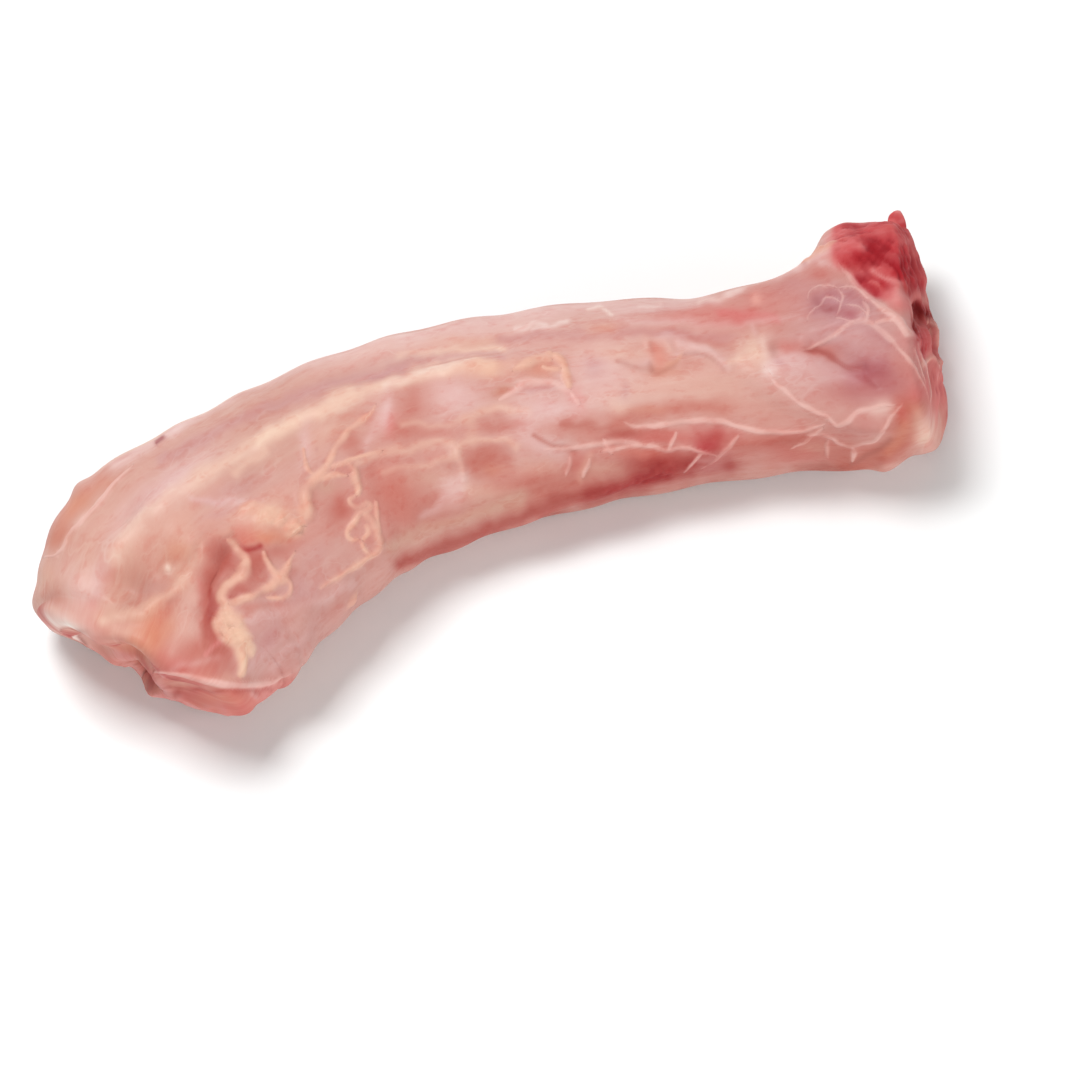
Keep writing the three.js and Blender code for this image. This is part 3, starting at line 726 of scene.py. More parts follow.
HEAD_END_MARKS = [
    # broad tones
    spot((765, 305), (60, 24), 12, muscle=0.4, rose=0.2),
    spot((760, 395), (60, 34), peach=0.25),
    spot((850, 350), (70, 50), lilac=0.7),
    spot((930, 385), (22, 44), rose=0.5, muscle=0.3),
    spot((800, 448), (64, 17), muscle=0.9, scarlet=0.12),
    # the far edge of the head end
    mark([(728, 291), (750, 283), (775, 275), (800, 266)], 4.5, rise=0.1, film=0.8, white=0.35),
    mark([(738, 281), (765, 272), (798, 260)], 2.2, violet=0.6),
    spot((792, 284), (26, 9), 14, muscle=0.25, lilac=0.3),
    spot((822, 274), (18, 7), -8, muscle=0.6, scarlet=0.1),
    spot((757, 299), (6, 6), rise=0.1, rose=0.5, cream=0.35),
    mark([(720, 313), (750, 314), (775, 318)], 5, scarlet=0.3, rose=0.3),
    mark([(745, 322), (775, 318), (800, 318)], 3, rise=0.08, film=0.35),
    spot((822, 254), (18, 10), 20, film=0.5, rose=0.35),
    spot((803, 261), (3, 5), violet=0.6),
    mark([(808, 262), (820, 255), (833, 247)], 4, rise=0.1, film=0.6, white=0.3),
    mark([(822, 264), (834, 266)], 3, rise=0.1, film=0.5),
    mark([(824, 240), (832, 236)], 2.4, rise=0.1, film=0.5),
    spot((770, 330), (20, 6), muscle=0.3),
    # the torn red flesh
    mark([(846, 232), (862, 224), (880, 220), (902, 226)], 13, firm=True, scarlet=0.95, blood=0.35),
    mark([(848, 254), (872, 248), (902, 248)], 15, firm=True, scarlet=0.95, blood=0.5),
    mark([(866, 276), (890, 274), (918, 272)], 13, firm=True, scarlet=0.9, blood=0.4),
    mark([(876, 291), (890, 292)], 8, firm=True, scarlet=0.8, blood=0.2),
    mark([(849, 264), (868, 260), (892, 272), (915, 282)], 8, blood=0.65),
    mark([(862, 283), (874, 292), (884, 286)], 7, blood=0.8),
    mark([(870, 246), (884, 258), (900, 264), (918, 262)], 6, deep=0.5, blood=0.4),
    spot((843, 236), (10, 7), 20, rose=0.5, film=0.15),
    mark([(832, 247), (845, 244), (862, 248)], 4.5, film=0.3, rose=0.4),
    spot((838, 240), (12, 10), rose=0.55, scarlet=0.3),
    spot((850, 248), (10, 5), 10, scarlet=0.6),
    spot((905, 240), (8, 9), -40, rose=0.4),
    spot((883, 230), (12, 5), -4, scarlet=0.3),
    spot((896, 221), (6, 6), rose=0.35),
    spot((836, 262), (7, 7), rose=0.6),
    spot((880, 268), (10, 4), -35, rose=0.4),
    mark([(872, 272), (886, 278), (898, 285)], 2.8, rise=0.18, rose=0.8, film=0.3),
    mark([(868, 283), (880, 288)], 2.2, rise=0.15, rose=0.6),
    mark([(852, 228), (859, 240), (858, 250)], 2.6, rise=0.08, rose=0.35),
    mark([(884, 222), (893, 234), (900, 244)], 2.6, rise=0.08, rose=0.3),
    mark([(846, 266), (858, 270), (870, 269)], 2.6, rise=0.08, rose=0.5),
    spot((866, 232), (14, 8), 10, scarlet=0.4),
    spot((912, 286), (9, 7), deep=0.6),
    spot((903, 299), (15, 10), -25, rose=0.9, film=0.35),
    spot((905, 309), (14, 7), -25, rose=0.5, scarlet=0.3),
    spot((893, 312), (10, 8), muscle=0.5, lilac=0.2),
    spot((908, 330), (8, 14), -20, rose=0.5, crease=0.2),
    mark([(920, 258), (930, 280), (938, 303)], 7, rose=0.7, scarlet=0.5),
    mark([(908, 284), (914, 304), (919, 326), (924, 346)], 7, scarlet=0.5, brick=0.35),
    # the hole, painted dark as the shade inside it
    spot((922, 318), (11, 13), rise=-0.5, firm=True, dark=1.0),
    spot((932, 300), (8, 10), scarlet=0.6, rose=0.3),
    spot((932, 310), (6, 6), blood=0.7, dark=0.3),
    spot((927, 342), (11, 15), -5, blood=0.35, scarlet=0.6),
    mark([(930, 322), (938, 330), (941, 344)], 3.6, rise=0.25, cream=0.6, rose=0.2),
    mark([(926, 364), (935, 364), (942, 358)], 3.4, rise=0.25, cream=0.7),
    mark([(925, 371), (938, 370)], 2.6, crease=0.4),
    spot((938, 390), (11, 32), rose=0.85),
    spot((934, 380), (6, 10), scarlet=0.25),
    spot((917, 392), (9, 12), scarlet=0.35, rose=0.3),
    mark([(943, 350), (946, 380), (947, 410)], 3, film=0.3),
    # the bubbled film
    spot((838, 304), (34, 20), -18, lilac=0.85, violet=0.15),
    spot((818, 302), (8, 9), 20, rise=-0.12, violet=0.6, crease=0.15),
    spot((831, 309), (9, 5), rise=-0.1, violet=0.65, crease=0.15),
    spot((849, 314), (10, 4.5), -10, rise=-0.1, violet=0.7, scarlet=0.1),
    spot((832, 294), (8, 5), 20, rise=-0.1, violet=0.5),
    spot((849, 294), (7, 5), -20, rise=-0.1, violet=0.45),
    spot((862, 302), (8, 5), -35, violet=0.35),
    spot((812, 314), (6, 6), violet=0.3),
    # the lilac dome, the crack and the purple zone
    spot((800, 372), (42, 28), film=0.45),
    spot((786, 362), (18, 12), film=0.45),
    spot((838, 395), (26, 12), muscle=0.35, violet=0.1),
    spot((822, 350), (20, 8), -12, muscle=0.6, scarlet=0.1),
    spot((788, 346), (14, 6), -4, muscle=0.6, scarlet=0.12),
    mark([(805, 348), (820, 350), (831, 357), (840, 364), (852, 369), (866, 369)], 2.6,
         rise=-0.12, crease=0.6, scarlet=0.2),
    mark([(866, 368), (870, 376), (878, 385)], 2.8, rise=-0.12, violet=0.9, crease=0.4),
    spot((872, 374), (22, 18), violet=0.8, scarlet=0.1),
    spot((892, 385), (20, 18), muscle=0.35, violet=0.3),
    spot((862, 392), (20, 10), violet=0.3, muscle=0.2),
    spot((880, 338), (18, 7), -32, violet=0.35),
    spot((850, 335), (26, 8), 10, film=0.25),
    spot((903, 362), (10, 20), 30, muscle=0.25),
    # the pale star with its lace of film
    spot((753, 352), (15, 16), rise=0.2, cream=0.55, peach=0.3),
    spot((765, 342), (5, 14), film=0.4, cream=0.3),
    spot((774, 350), (4, 7), crease=0.35),
    spot((777, 362), (6, 5), lilac=0.5),
    spot((770, 369), (8, 8), rise=0.1, white=0.55, film=0.4),
    mark([(740, 358), (728, 362)], 4, cream=0.4),
    mark([(756, 334), (752, 326)], 4, film=0.4),
    # the lower side
    spot((770, 412), (44, 14), -4, muscle=0.25),
    spot((790, 440), (26, 6), 4, muscle=0.5, brick=0.2),
    spot((815, 447), (24, 7), -8, beige=0.35),
    spot((865, 424), (26, 14), 14, muscle=0.5, lilac=0.2),
    spot((880, 409), (16, 8), 8, film=0.5, cream=0.25),
    spot((842, 456), (14, 9), muscle=0.5),
    mark([(846, 470), (874, 462), (896, 448), (907, 428), (908, 412)], 13,
         muscle=1.0, brick=0.5, orange=0.3),
    mark([(886, 452), (898, 440), (905, 426)], 6, orange=0.5),
    mark([(852, 464), (874, 453), (890, 440)], 3, crease=0.4),
    spot((904, 412), (6, 14), 10, scarlet=0.25, muscle=0.3),
    mark([(868, 473), (895, 467), (918, 458), (936, 445)], 4, film=0.3, peach=0.3),
    spot((926, 432), (14, 13), 20, rise=0.1, white=0.35, cream=0.3),
    spot((918, 414), (5, 10), 10, cream=0.25),
    spot((924, 437), (5, 3), beige=0.6),
    spot((940, 425), (9, 16), peach=0.5, rose=0.2),
    spot((924, 434), (14, 12), 20, cream=0.35),
    spot((826, 470), (24, 5), crease=0.5, muscle=0.4),
]

# Film threads: a route, half width in pixels, and how bright.
THREADS = [
    # the film's rim at the body end, and its lower edge
    ([(134, 464), (118, 480), (105, 495), (91, 511), (80, 523), (71, 533), (64, 546), (57, 554), (43, 558)],
     3.7, 0.6),
    ([(154, 671), (165, 672), (184, 675), (206, 681), (222, 684), (245, 685), (262, 684),
      (276, 680), (293, 672)], 4.4, 0.7),
    # thin lines of the near side
    ([(541, 450), (560, 449), (590, 446), (611, 442), (632, 443), (652, 446), (668, 450), (682, 448),
      (700, 451), (718, 457)], 3.7, 0.55),
    ([(622, 421), (634, 426), (650, 427), (668, 424), (695, 420), (715, 421), (735, 425), (755, 431),
      (775, 432), (800, 431), (815, 428), (826, 423)], 3.7, 0.6),
    ([(603, 438), (607, 448), (612, 455)], 3.2, 0.5),
    ([(600, 452), (622, 447), (645, 444)], 3.2, 0.5),
    ([(676, 430), (674, 440), (668, 451)], 2.7, 0.6),
    ([(702, 453), (694, 462), (684, 473)], 3.2, 0.6),
    ([(740, 434), (730, 446), (716, 458), (700, 470)], 3.4, 0.45),
    ([(570, 455), (569, 466), (566, 476)], 2.9, 0.45),
    ([(590, 457), (587, 467), (583, 478)], 3.9, 0.5),
    # folds over the belly
    ([(498, 402), (508, 395), (516, 389), (526, 383), (540, 381), (555, 383), (564, 387), (570, 392)],
     5.4, 0.5),
    ([(569, 390), (575, 397), (579, 406)], 2.9, 0.5),
    # the head end's lines
    ([(765, 366), (772, 380), (784, 391), (800, 403), (815, 411), (828, 418), (838, 426), (846, 422),
      (856, 414), (868, 409), (884, 405), (896, 405)], 3.3, 0.5),
    ([(800, 351), (815, 346), (829, 339), (841, 330), (852, 323), (864, 321), (874, 325), (886, 335),
      (898, 348), (910, 361), (918, 374), (925, 390), (929, 403)], 3.7, 0.45),
    ([(838, 262), (850, 276), (862, 290), (876, 303), (890, 313), (900, 322), (911, 338), (920, 354),
      (926, 372), (930, 390), (930, 404)], 5.1, 0.5),
    ([(870, 300), (884, 312), (896, 321), (905, 334), (914, 350), (921, 368), (926, 386)], 2.9, 0.5),
    ([(866, 322), (868, 310), (862, 300)], 2.4, 0.35),
    ([(874, 323), (886, 320), (896, 322)], 2.9, 0.5),
    ([(806, 435), (818, 434), (830, 437), (840, 443), (852, 446), (866, 443), (876, 438), (886, 426),
      (893, 414), (904, 405)], 3.4, 0.45),
    ([(852, 445), (854, 454), (852, 462)], 3.2, 0.6),
    ([(790, 449), (802, 443), (812, 436), (824, 428)], 3.2, 0.45),
    ([(828, 438), (826, 448), (828, 458)], 2.7, 0.35),
    # the meshes of the bubbled film
    ([(806, 300), (810, 291), (820, 286), (830, 286), (838, 289)], 1.7, 0.4),
    ([(812, 310), (822, 305), (826, 297), (836, 299), (842, 303)], 1.7, 0.4),
    ([(838, 289), (843, 297), (841, 306), (836, 314)], 1.7, 0.4),
    ([(838, 289), (850, 286), (860, 292), (868, 300)], 1.7, 0.4),
    ([(842, 304), (852, 305), (862, 310), (870, 316)], 1.7, 0.4),
    ([(806, 322), (810, 313), (814, 308)], 1.7, 0.35),
    ([(836, 318), (844, 320), (856, 321)], 1.7, 0.3),
]

# Strands of fat: a route, half widths in pixels along it, and how creamy (1) or pink (0) they are.
STRANDS = [
    # the S-shaped strand, with its swelling and tail
    ([(226, 538), (234, 546), (242, 554), (246, 564), (243, 574), (235, 580), (226, 587), (222, 596),
      (224, 605), (229, 614)], [4.2, 5.4, 6.1, 6.6, 6.6, 6.6, 6.8, 6.8, 7.3, 7.1], 0.35),
    ([(234, 626), (240, 640), (241, 654), (241, 667), (240, 679)], [9.4, 10.6, 8.3, 7.1, 5.9], 0.95),
    ([(216, 616), (216, 626), (220, 636), (228, 644)], [3.5, 4.7, 4.7, 4.7], 0.2),
    # its branch, fork and loop
    ([(228, 604), (237, 601), (250, 597), (262, 591), (272, 585), (281, 576), (287, 567), (296, 550)],
     [4.0, 4.7, 5.2, 5.4, 5.4, 5.2, 4.0, 2.4], 0.3),
    ([(280, 577), (272, 569), (267, 561), (262, 550)], [5.4, 4.7, 3.8, 2.4], 0.2),
    ([(282, 578), (289, 583), (291, 591), (286, 597), (276, 598), (266, 596)],
     [4.0, 4.0, 3.8, 3.5, 3.1, 2.4], 0.2),
    # the long strand from the tendon to the fat above the pit
    ([(377, 404), (366, 418), (354, 427), (344, 436), (337, 446), (331, 458), (322, 472), (312, 482),
      (306, 492), (305, 503), (307, 514), (302, 526)],
     [3.1, 4.2, 4.5, 4.7, 4.7, 5.0, 5.9, 7.1, 7.6, 7.6, 8.3, 7.1], 0.3),
    ([(316, 480), (326, 477), (337, 475), (349, 476)], [4.0, 4.5, 4.0, 2.8], 0.3),
    ([(330, 468), (341, 464), (353, 460), (366, 455), (384, 450)], [3.1, 3.8, 3.5, 2.8, 2.1], 0.3),
    ([(318, 478), (307, 470), (304, 458), (303, 447)], [3.5, 3.3, 2.8, 2.1], 0.25),
    # the tangle
    ([(348, 462), (353, 470), (356, 480), (358, 490), (357, 497)], [4.2, 5.6, 5.4, 4.8, 4.2], 0.5),
    ([(357, 496), (350, 500), (351, 506), (360, 508), (366, 503), (370, 507), (363, 512), (357, 516),
      (351, 524), (347, 533), (351, 540), (361, 540)],
     [4.2, 4.5, 4.2, 4.2, 4.2, 4.5, 4.5, 4.5, 4.8, 4.5, 4.2, 3.4], 0.35),
    ([(362, 512), (370, 519), (375, 526), (378, 535), (379, 545), (376, 553), (366, 559), (352, 568),
      (336, 578), (318, 590)], [4.5, 5.4, 6.2, 6.6, 6.2, 5.6, 4.2, 3.8, 3.5, 2.2], 0.3),
    ([(361, 541), (367, 533), (365, 523)], [3.3, 3.8, 3.3], 0.3),
    ([(374, 500), (377, 510), (377, 522), (378, 534)], [2.8, 3.4, 3.4, 3.4], 0.2),
    ([(361, 541), (364, 549), (372, 556)], [3.4, 3.8, 3.8], 0.3),
    # the knot of film over the belly
    ([(512, 372), (522, 366), (533, 360), (545, 356), (553, 352)], [2.8, 5.2, 5.9, 6.6, 5.4], 0.35),
    ([(553, 353), (560, 360), (565, 370), (567, 380), (570, 390)], [5.4, 5.9, 5.9, 5.2, 4.2], 0.3),
    ([(540, 366), (550, 369), (561, 368)], [3.1, 3.8, 3.5], 0.3),
    ([(528, 364), (541, 361), (552, 360)], [2.8, 3.5, 3.1], 0.3),
]

# Lumps: a place on the photo, half length, half width and height in mm, turn in degrees, how creamy.
LUMPS = [
    ((294, 528), (1.6, 1.4, 0.75), 30, 0.75),
    ((281, 520), (1.4, 1.1, 0.4), 20, 0.5),
    ((268, 515), (1.9, 1.3, 0.4), 10, 0.65),
    ((250, 508), (2.1, 1.2, 0.3), 20, 0.3),
    ((304, 512), (1.2, 1.1, 0.4), 0, 0.4),
    ((226, 613), (1.4, 1.2, 0.5), 0, 0.5),
    ((222, 625), (1.7, 1.2, 0.5), -70, 0.6),
    ((234, 624), (1.9, 1.5, 0.6), -50, 0.85),
    ((230, 638), (1.6, 1.2, 0.5), -60, 0.75),
    ((242, 637), (1.9, 1.3, 0.55), -60, 0.95),
    ((249, 648), (1.6, 0.9, 0.4), -65, 0.85),
    ((280, 578), (1.1, 0.9, 0.35), -20, 0.35),
    ((352, 600), (1.5, 1.0, 0.45), 40, 0.1),
    ((818, 252), (2.2, 1.4, 0.6), 12, 0.1),
    ((829, 246), (1.7, 1.2, 0.5), 40, 0.0),
    ((806, 260), (1.2, 0.9, 0.4), 12, 0.1),
]


def curve_points(route, steps):
    """A smooth, evenly numbered line through a route's points."""
    if len(route) == 1:
        return np.asarray(route, float)
    return through(route, np.linspace(0, len(route) - 1, steps * (len(route) - 1) + 1))


def cover(places, item):
    """How much of a mark lies on each place: 1 on its line or in its middle, less with the distance."""
    power = 4 if item["firm"] else 2
    turn = np.radians(item["turn"])
    spin = np.array([[np.cos(turn), np.sin(turn)], [-np.sin(turn), np.cos(turn)]])
    if len(item["route"]) == 1:
        offset = (places - np.asarray(item["route"][0])) * (1, -1) @ spin.T
        return np.exp(-(length_of(offset / item["size"])[..., 0] ** power))
    distance = nearest_on(places, curve_points(item["route"], MARK_STEPS))[0] / item["size"][0]
    return np.exp(-(distance**power))


# Small pushes that bring the ends to their outline: a place on the photo, its reach and the push in pixels.
FITTINGS = [
    ((58, 622), 14, (-2, 7)),
    ((36, 586), 12, (3, 0)),
    ((82, 490), 12, (-4, -4)),
    ((130, 677), 8, (0, -10)),
    ((150, 694), 10, (-7, 8)),
    ((262, 716), 11, (-5, -9)),
    ((288, 692), 9, (6, 4)),
    ((905, 238), 14, (4, -1)),
    ((925, 275), 14, (5, 0)),
    ((940, 318), 12, (3, 0)),
    ((948, 440), 10, (-6, -4)),
    ((885, 468), 12, (0, 4)),
    ((826, 238), 16, (-5, -6)),
]


def fitted(points):
    """Moves points sideways and across the floor by the fittings: each push times a bell of the distance."""
    places = to_photo(points)
    level = PIXEL * np.array([[1.0, 0.0, 0.0], [0.0, -1 / np.sin(ELEVATION), 0.0]])
    for place, reach, push in FITTINGS:
        points = points + bell(length_of(places - place), reach) * (np.array(push) @ level)
    return points


class Coat:
    """The tone of places on the meat and how far they rise, on which marks are laid one after another."""

    def __init__(self, places, tone, uneven):
        self.places = places
        self.tone = tone
        self.uneven = uneven
        self.rise = np.zeros(len(tone))
        self.bare = np.zeros(len(tone))

    def wash(self, name, amount, where=slice(None)):
        """Mixes a paint over the tone, tone + amount (paint - tone), and keeps how bare the flesh is."""
        amount = np.clip(amount, 0, 1)
        self.tone[where] += amount[:, None] * (np.array(PAINTS[name]) - self.tone[where])
        self.bare[where] += amount * (BARE.get(name, 0.0) - self.bare[where])

    def mark(self, weight, item):
        """Lays one mark where the weight lets it show."""
        reach = MARK_REACH * max(item["size"])
        low = np.min(item["route"], axis=0) - reach
        high = np.max(item["route"], axis=0) + reach
        near = np.flatnonzero(((self.places > low) & (self.places < high)).all(-1) & (weight > 0))
        share = cover(self.places[near], item) * weight[near]
        self.rise[near] += item["rise"] * share
        for name, strength in item["paints"].items():
            self.wash(name, strength * share * (1 + UNEVENNESS * self.uneven[near]), near)


# ---- Building meshes ----

def ring_faces(rows, columns):
    """Faces of a grid of closed rings, with one more vertex as a pole at each end: quads, then two fans."""
    index = np.arange(rows * columns).reshape(rows, columns)
    turned = np.roll(index, -1, axis=1)
    quads = np.stack([index[:-1], index[1:], turned[1:], turned[:-1]], -1).reshape(-1, 4)
    first = np.full(columns, rows * columns)
    near_fan = np.stack([first, index[0], turned[0]], -1)
    far_fan = np.stack([first + 1, turned[-1], index[-1]], -1)
    return quads, np.vstack([near_fan, far_fan])


def signed_volume(points, triangles):
    """Six times the volume inside, which is negative when the faces point in."""
    a, b, c = (points[triangles[:, i]] for i in range(3))
    return np.einsum("ij,ij->", a, np.cross(b, c))


class Shape:
    """Closed surfaces gathered into one mesh, with float and vector values on their vertices."""

    def __init__(self, name):
        self.name = name
        self.points = []
        self.faces = []
        self.values = {}
        self.count = 0

    def add(self, rings, poles, **values):
        """Adds one surface: rings (rows, columns, 3), its two poles, and values of rings and poles alike."""
        rows, columns, _ = rings.shape
        points = np.vstack([rings.reshape(-1, 3), poles])
        quads, fans = ring_faces(rows, columns)
        halves = np.vstack([quads[:, :3], quads[:, [0, 2, 3]], fans])
        if signed_volume(points, halves) < 0:
            quads, fans = quads[:, ::-1], fans[:, ::-1]
        self.points.append(points)
        self.faces += (quads + self.count).tolist() + (fans + self.count).tolist()
        for name, value in values.items():
            self.values.setdefault(name, []).append(value)
        self.count += len(points)

    def build(self, material):
        """Makes the mesh in metres, smooth, riding on the neck, and gives its object."""
        mesh = bpy.data.meshes.new(self.name)
        mesh.from_pydata((np.vstack(self.points) * METRES).tolist(), [], self.faces)
        for name, parts in self.values.items():
            value = np.concatenate(parts).astype(np.float32)
            kind, field = ("FLOAT", "value") if value.ndim == 1 else ("FLOAT_VECTOR", "vector")
            mesh.attributes.new(name, kind, "POINT").data.foreach_set(field, value.ravel())
        mesh.shade_smooth()
        mesh.materials.append(material)
        piece = bpy.data.objects.new(self.name, mesh)
        bpy.context.scene.collection.objects.link(piece)
        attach(piece, BODY)
        return piece


# ---- The meat ----

RIM_ROWS = 16          # rows to each side of a rim that are eased
RIM_SHARE = 0.6
PINCH_ROW = 64
PINCH_ROWS = 14
PINCH_ANGLE = np.radians(95.0)
PINCH_REACH = np.radians(45.0)
TIMES_EASED = 60
GRAIN_RADIUS = 14.0    # a mean half width of the neck
GRAIN_TILT = 4.0       # millimetres along the neck for each radian of tilt
SHOWN_LOW = 0.0        # cosine to the camera at which a mark starts to show
SHOWN_HIGH = 0.3       # and at which it shows in full
SHOWN_RAGGED = 0.05    # by how much that limit wanders, and over what length
SHOWN_LENGTH = 7.0
FACE_REACH = 3.0       # how far from a cut's plane its flesh shows
FACE_LEAN = 0.35       # the faces are almost edge on to the camera, so their marks are let in by a lean
FACE_DIMMED = 0.15     # the share of a mark that doesn't show on a face
NEAR_LEAN = 0.15       # the near side turns away slowly, so its marks go on a little further
NEAR_EDGE = 0.2        # the normal's part across the neck at which the near side starts and is full
CORNER_LOW = 0.1       # the same cosines for the corner's painted highlight
CORNER_HIGH = 0.3
WOBBLE = 1.8           # pixels by which the marks' edges wander, and over what length in pixels
WOBBLE_LENGTH = 30.0
FINE_WOBBLE = 0.4
FINE_WOBBLE_LENGTH = 14.0
FACE_WOBBLE = 3.0      # the same on the faces, over millimetres, where marks would be stripes without it
FACE_WOBBLE_LENGTH = 5.0
TORN_SIDE = np.array((50.0, 21.0, 13.0))   # the middle of the torn flesh
TORN_REACH = 8.0       # how far from there it goes round the far side
TORN_SOFT = 1.2
TORN_RAGGED = 1.8
COARSE_TEAR = 0.19     # heights of the torn flesh's ripples
FINE_TEAR = 0.13
COARSE_FILM = 0.09     # heights of the film's ripples
FINE_FILM = 0.025
FLOOR_REACH = 1.5      # height over which the fine relief comes in above the floor


def eased(rings, angle):
    """Rounds the cuts' rims and the pinch: there each point moves towards its neighbours' mean, many times.

    The pinch is where the near side turns so sharply that its sections run into one another.
    """
    row = np.arange(len(rings))[:, None]
    rims = bell(row - FACE_ROWS, RIM_ROWS) + bell(row - (len(rings) - 1 - FACE_ROWS), RIM_ROWS)
    pinch = bell(row - PINCH_ROW, PINCH_ROWS) * bell(angle - PINCH_ANGLE, PINCH_REACH)
    share = 0.5 * np.maximum(RIM_SHARE * rims, pinch)[..., None]
    for _ in range(TIMES_EASED):
        padded = np.concatenate([rings[:1], rings, rings[-1:]])
        along = (padded[:-2] + padded[2:]) / 2
        around = (np.roll(rings, 1, axis=1) + np.roll(rings, -1, axis=1)) / 2
        rings = rings + share * ((along + around) / 2 - rings)
    return rings


def meat_rings():
    """The meat's rings, with the station, angle, tilt and outward normal of each vertex."""
    station, angle, tilt = neck_grid()
    rings = eased(fitted(skin(station, angle, tilt)), angle)
    ray = plain_skin(station, angle, tilt)[1]
    return rings, station, angle, tilt, ring_normals(rings, ray)


def grain_place(station, angle, tilt):
    """A place that follows the meat: distance along the neck, then a circle of the neck's half width."""
    fine, travelled = centre_line()
    along = np.interp(station, fine[1:], travelled) + GRAIN_TILT * tilt
    return np.stack([along, GRAIN_RADIUS * np.cos(angle), GRAIN_RADIUS * np.sin(angle)], -1)


def drawn_out(grain, share, length, seed):
    """Ripples that are 1 / share as long along the neck as they are round it."""
    return ripples(grain * (share, 1, 1), length, seed)


def shown_share(points, normals, face_share):
    """How much of the marks shows: a step of the cosine to the camera, with its leans and ripples."""
    ragged = SHOWN_RAGGED * ripples(points, SHOWN_LENGTH, 26)
    near_side = ease(NEAR_EDGE, -NEAR_EDGE, normals[:, 1])
    cosine = normals @ TO_CAMERA
    return ease(SHOWN_LOW, SHOWN_HIGH, cosine + FACE_LEAN * face_share + NEAR_LEAN * near_side + ragged)


def paint_hidden_sides(coat, amount, grain):
    """The sides that the photo doesn't show: film in broad patches over muscle, as on the one it shows."""
    stripes = drawn_out(grain, 0.16, 9.0, 21)
    patches = ripples(grain, 20.0, 22)
    washes = [
        # paint, its pattern, where in the pattern it starts and is full, and its strength
        ("film", stripes, -0.2, 1.2, 0.75),
        ("muscle", -stripes, 0.1, 1.2, 0.55),
        ("beige", patches, 0.1, 1.1, 0.6),
        ("violet", -patches, 0.9, 1.6, 0.3),
    ]
    for name, pattern, low, high, strength in washes:
        coat.wash(name, amount * ease(low, high, pattern) * strength)
    coat.wash("cream", amount * bell(drawn_out(grain, 0.06, 16.0, 24), 0.12) * 0.45)


def paint_cut_face(coat, points, cut, share):
    """A cut's face: bundles of muscle with film between them, round a ring of bone and its canal, darkened
    with painted shade.
    """
    radius, turn, _ = face_place(points, cut)
    coat.wash("muscle", 0.8 * share)
    coat.wash("scarlet", 0.4 * share * (0.6 + 0.4 * np.cos(BUNDLES * turn)))
    coat.wash("blood", 0.3 * share * ease(0.2, 1.0, ripples(points, 5.0, 25)))
    between = np.abs(np.sin(BUNDLES * turn / 2)) ** 12
    coat.wash("peach", 0.5 * share * between * ease(BONE_RADIUS, BONE_RADIUS + 3, radius))
    coat.wash("peach", 0.7 * share * bell(radius - BONE_RADIUS, BONE_WIDTH))
    coat.wash("blood", 0.6 * share * bell(radius - BONE_RADIUS, 0.7))
    # painted shade in the canal
    coat.wash("dark", 0.7 * share * bell(radius, CANAL_RADIUS))


def paint_torn_side(coat, points, amount):
    """The torn flesh, which goes on a little way round the far side, up to a ragged edge."""
    gap = length_of(points - TORN_SIDE)[:, 0] - TORN_REACH + TORN_RAGGED * ripples(points, 5.0, 27)
    share = amount * ease(TORN_SOFT, -TORN_SOFT, gap)
    coat.wash("scarlet", 0.9 * share)
    coat.wash("blood", 0.5 * share * ease(-0.6, 0.8, ripples(points, 7.0, 28)))


def fine_relief(coat, points, grain):
    """How far the painted meat rises: its marks' relief, with sharp ripples where it is torn and low ones
    under film. The hollows of the torn flesh are painted deep red as painted shade, and its ridges rose as
    painted light.
    """
    torn = ease(0.45, 0.85, coat.bare)
    torn_rise = COARSE_TEAR * ripples(points, 3.2, 31) + FINE_TEAR * ripples(points, 1.3, 32)
    film_rise = COARSE_FILM * drawn_out(grain, 0.4, 6.5, 33) + FINE_FILM * drawn_out(grain, 0.5, 2.8, 34)
    # painted shade in the torn hollows and painted light on the torn ridges
    coat.wash("deep", 0.45 * torn * ease(-0.06, 0.32, -torn_rise))
    coat.wash("rose", 0.35 * torn * ease(0.06, 0.4, torn_rise))
    return coat.rise + torn * torn_rise + (1 - torn) * film_rise


rings, station, angle, tilt, normals = meat_rings()
flat_points = rings.reshape(-1, 3)
flat_normals = normals.reshape(-1, 3)
flat_grain = grain_place(station, angle, tilt).reshape(-1, 3)

# How much of each cut's face every vertex is, and how much the photo shows of it.
face_shares = [((tilt.reshape(-1) * cut.side) > 0) * bell(face_place(flat_points, cut)[2], FACE_REACH)
               for cut in (BODY_CUT, HEAD_CUT)]
face_share = np.maximum(*face_shares)
shown = shown_share(flat_points, flat_normals, face_share)
hidden = (1 - shown) * (1 - face_share)

photo_places = to_photo(flat_points)
wander = wobble(photo_places, WOBBLE, WOBBLE_LENGTH, 11)
wander += wobble(photo_places, FINE_WOBBLE, FINE_WOBBLE_LENGTH, 13)
wander += face_share[:, None] * wobble(flat_points, FACE_WOBBLE, FACE_WOBBLE_LENGTH, 15)
plain_tone = np.array(PLAIN_MEAT) + 0 * flat_points
coat = Coat(photo_places + wander, plain_tone, drawn_out(flat_grain, 0.5, 6.0, 23))

paint_hidden_sides(coat, hidden, flat_grain)
for cut, share in zip((BODY_CUT, HEAD_CUT), face_shares):
    paint_cut_face(coat, flat_points, cut, share)
for item in BODY_END_MARKS + MIDDLE_MARKS + HEAD_END_MARKS:
    coat.mark(shown * (1 - FACE_DIMMED * face_share), item)
# the corner's painted highlight and the painted shade of its notch
for item in CORNER_MARKS:
    coat.mark(ease(CORNER_LOW, CORNER_HIGH, flat_normals @ TO_CAMERA), item)
paint_torn_side(coat, flat_points, hidden)

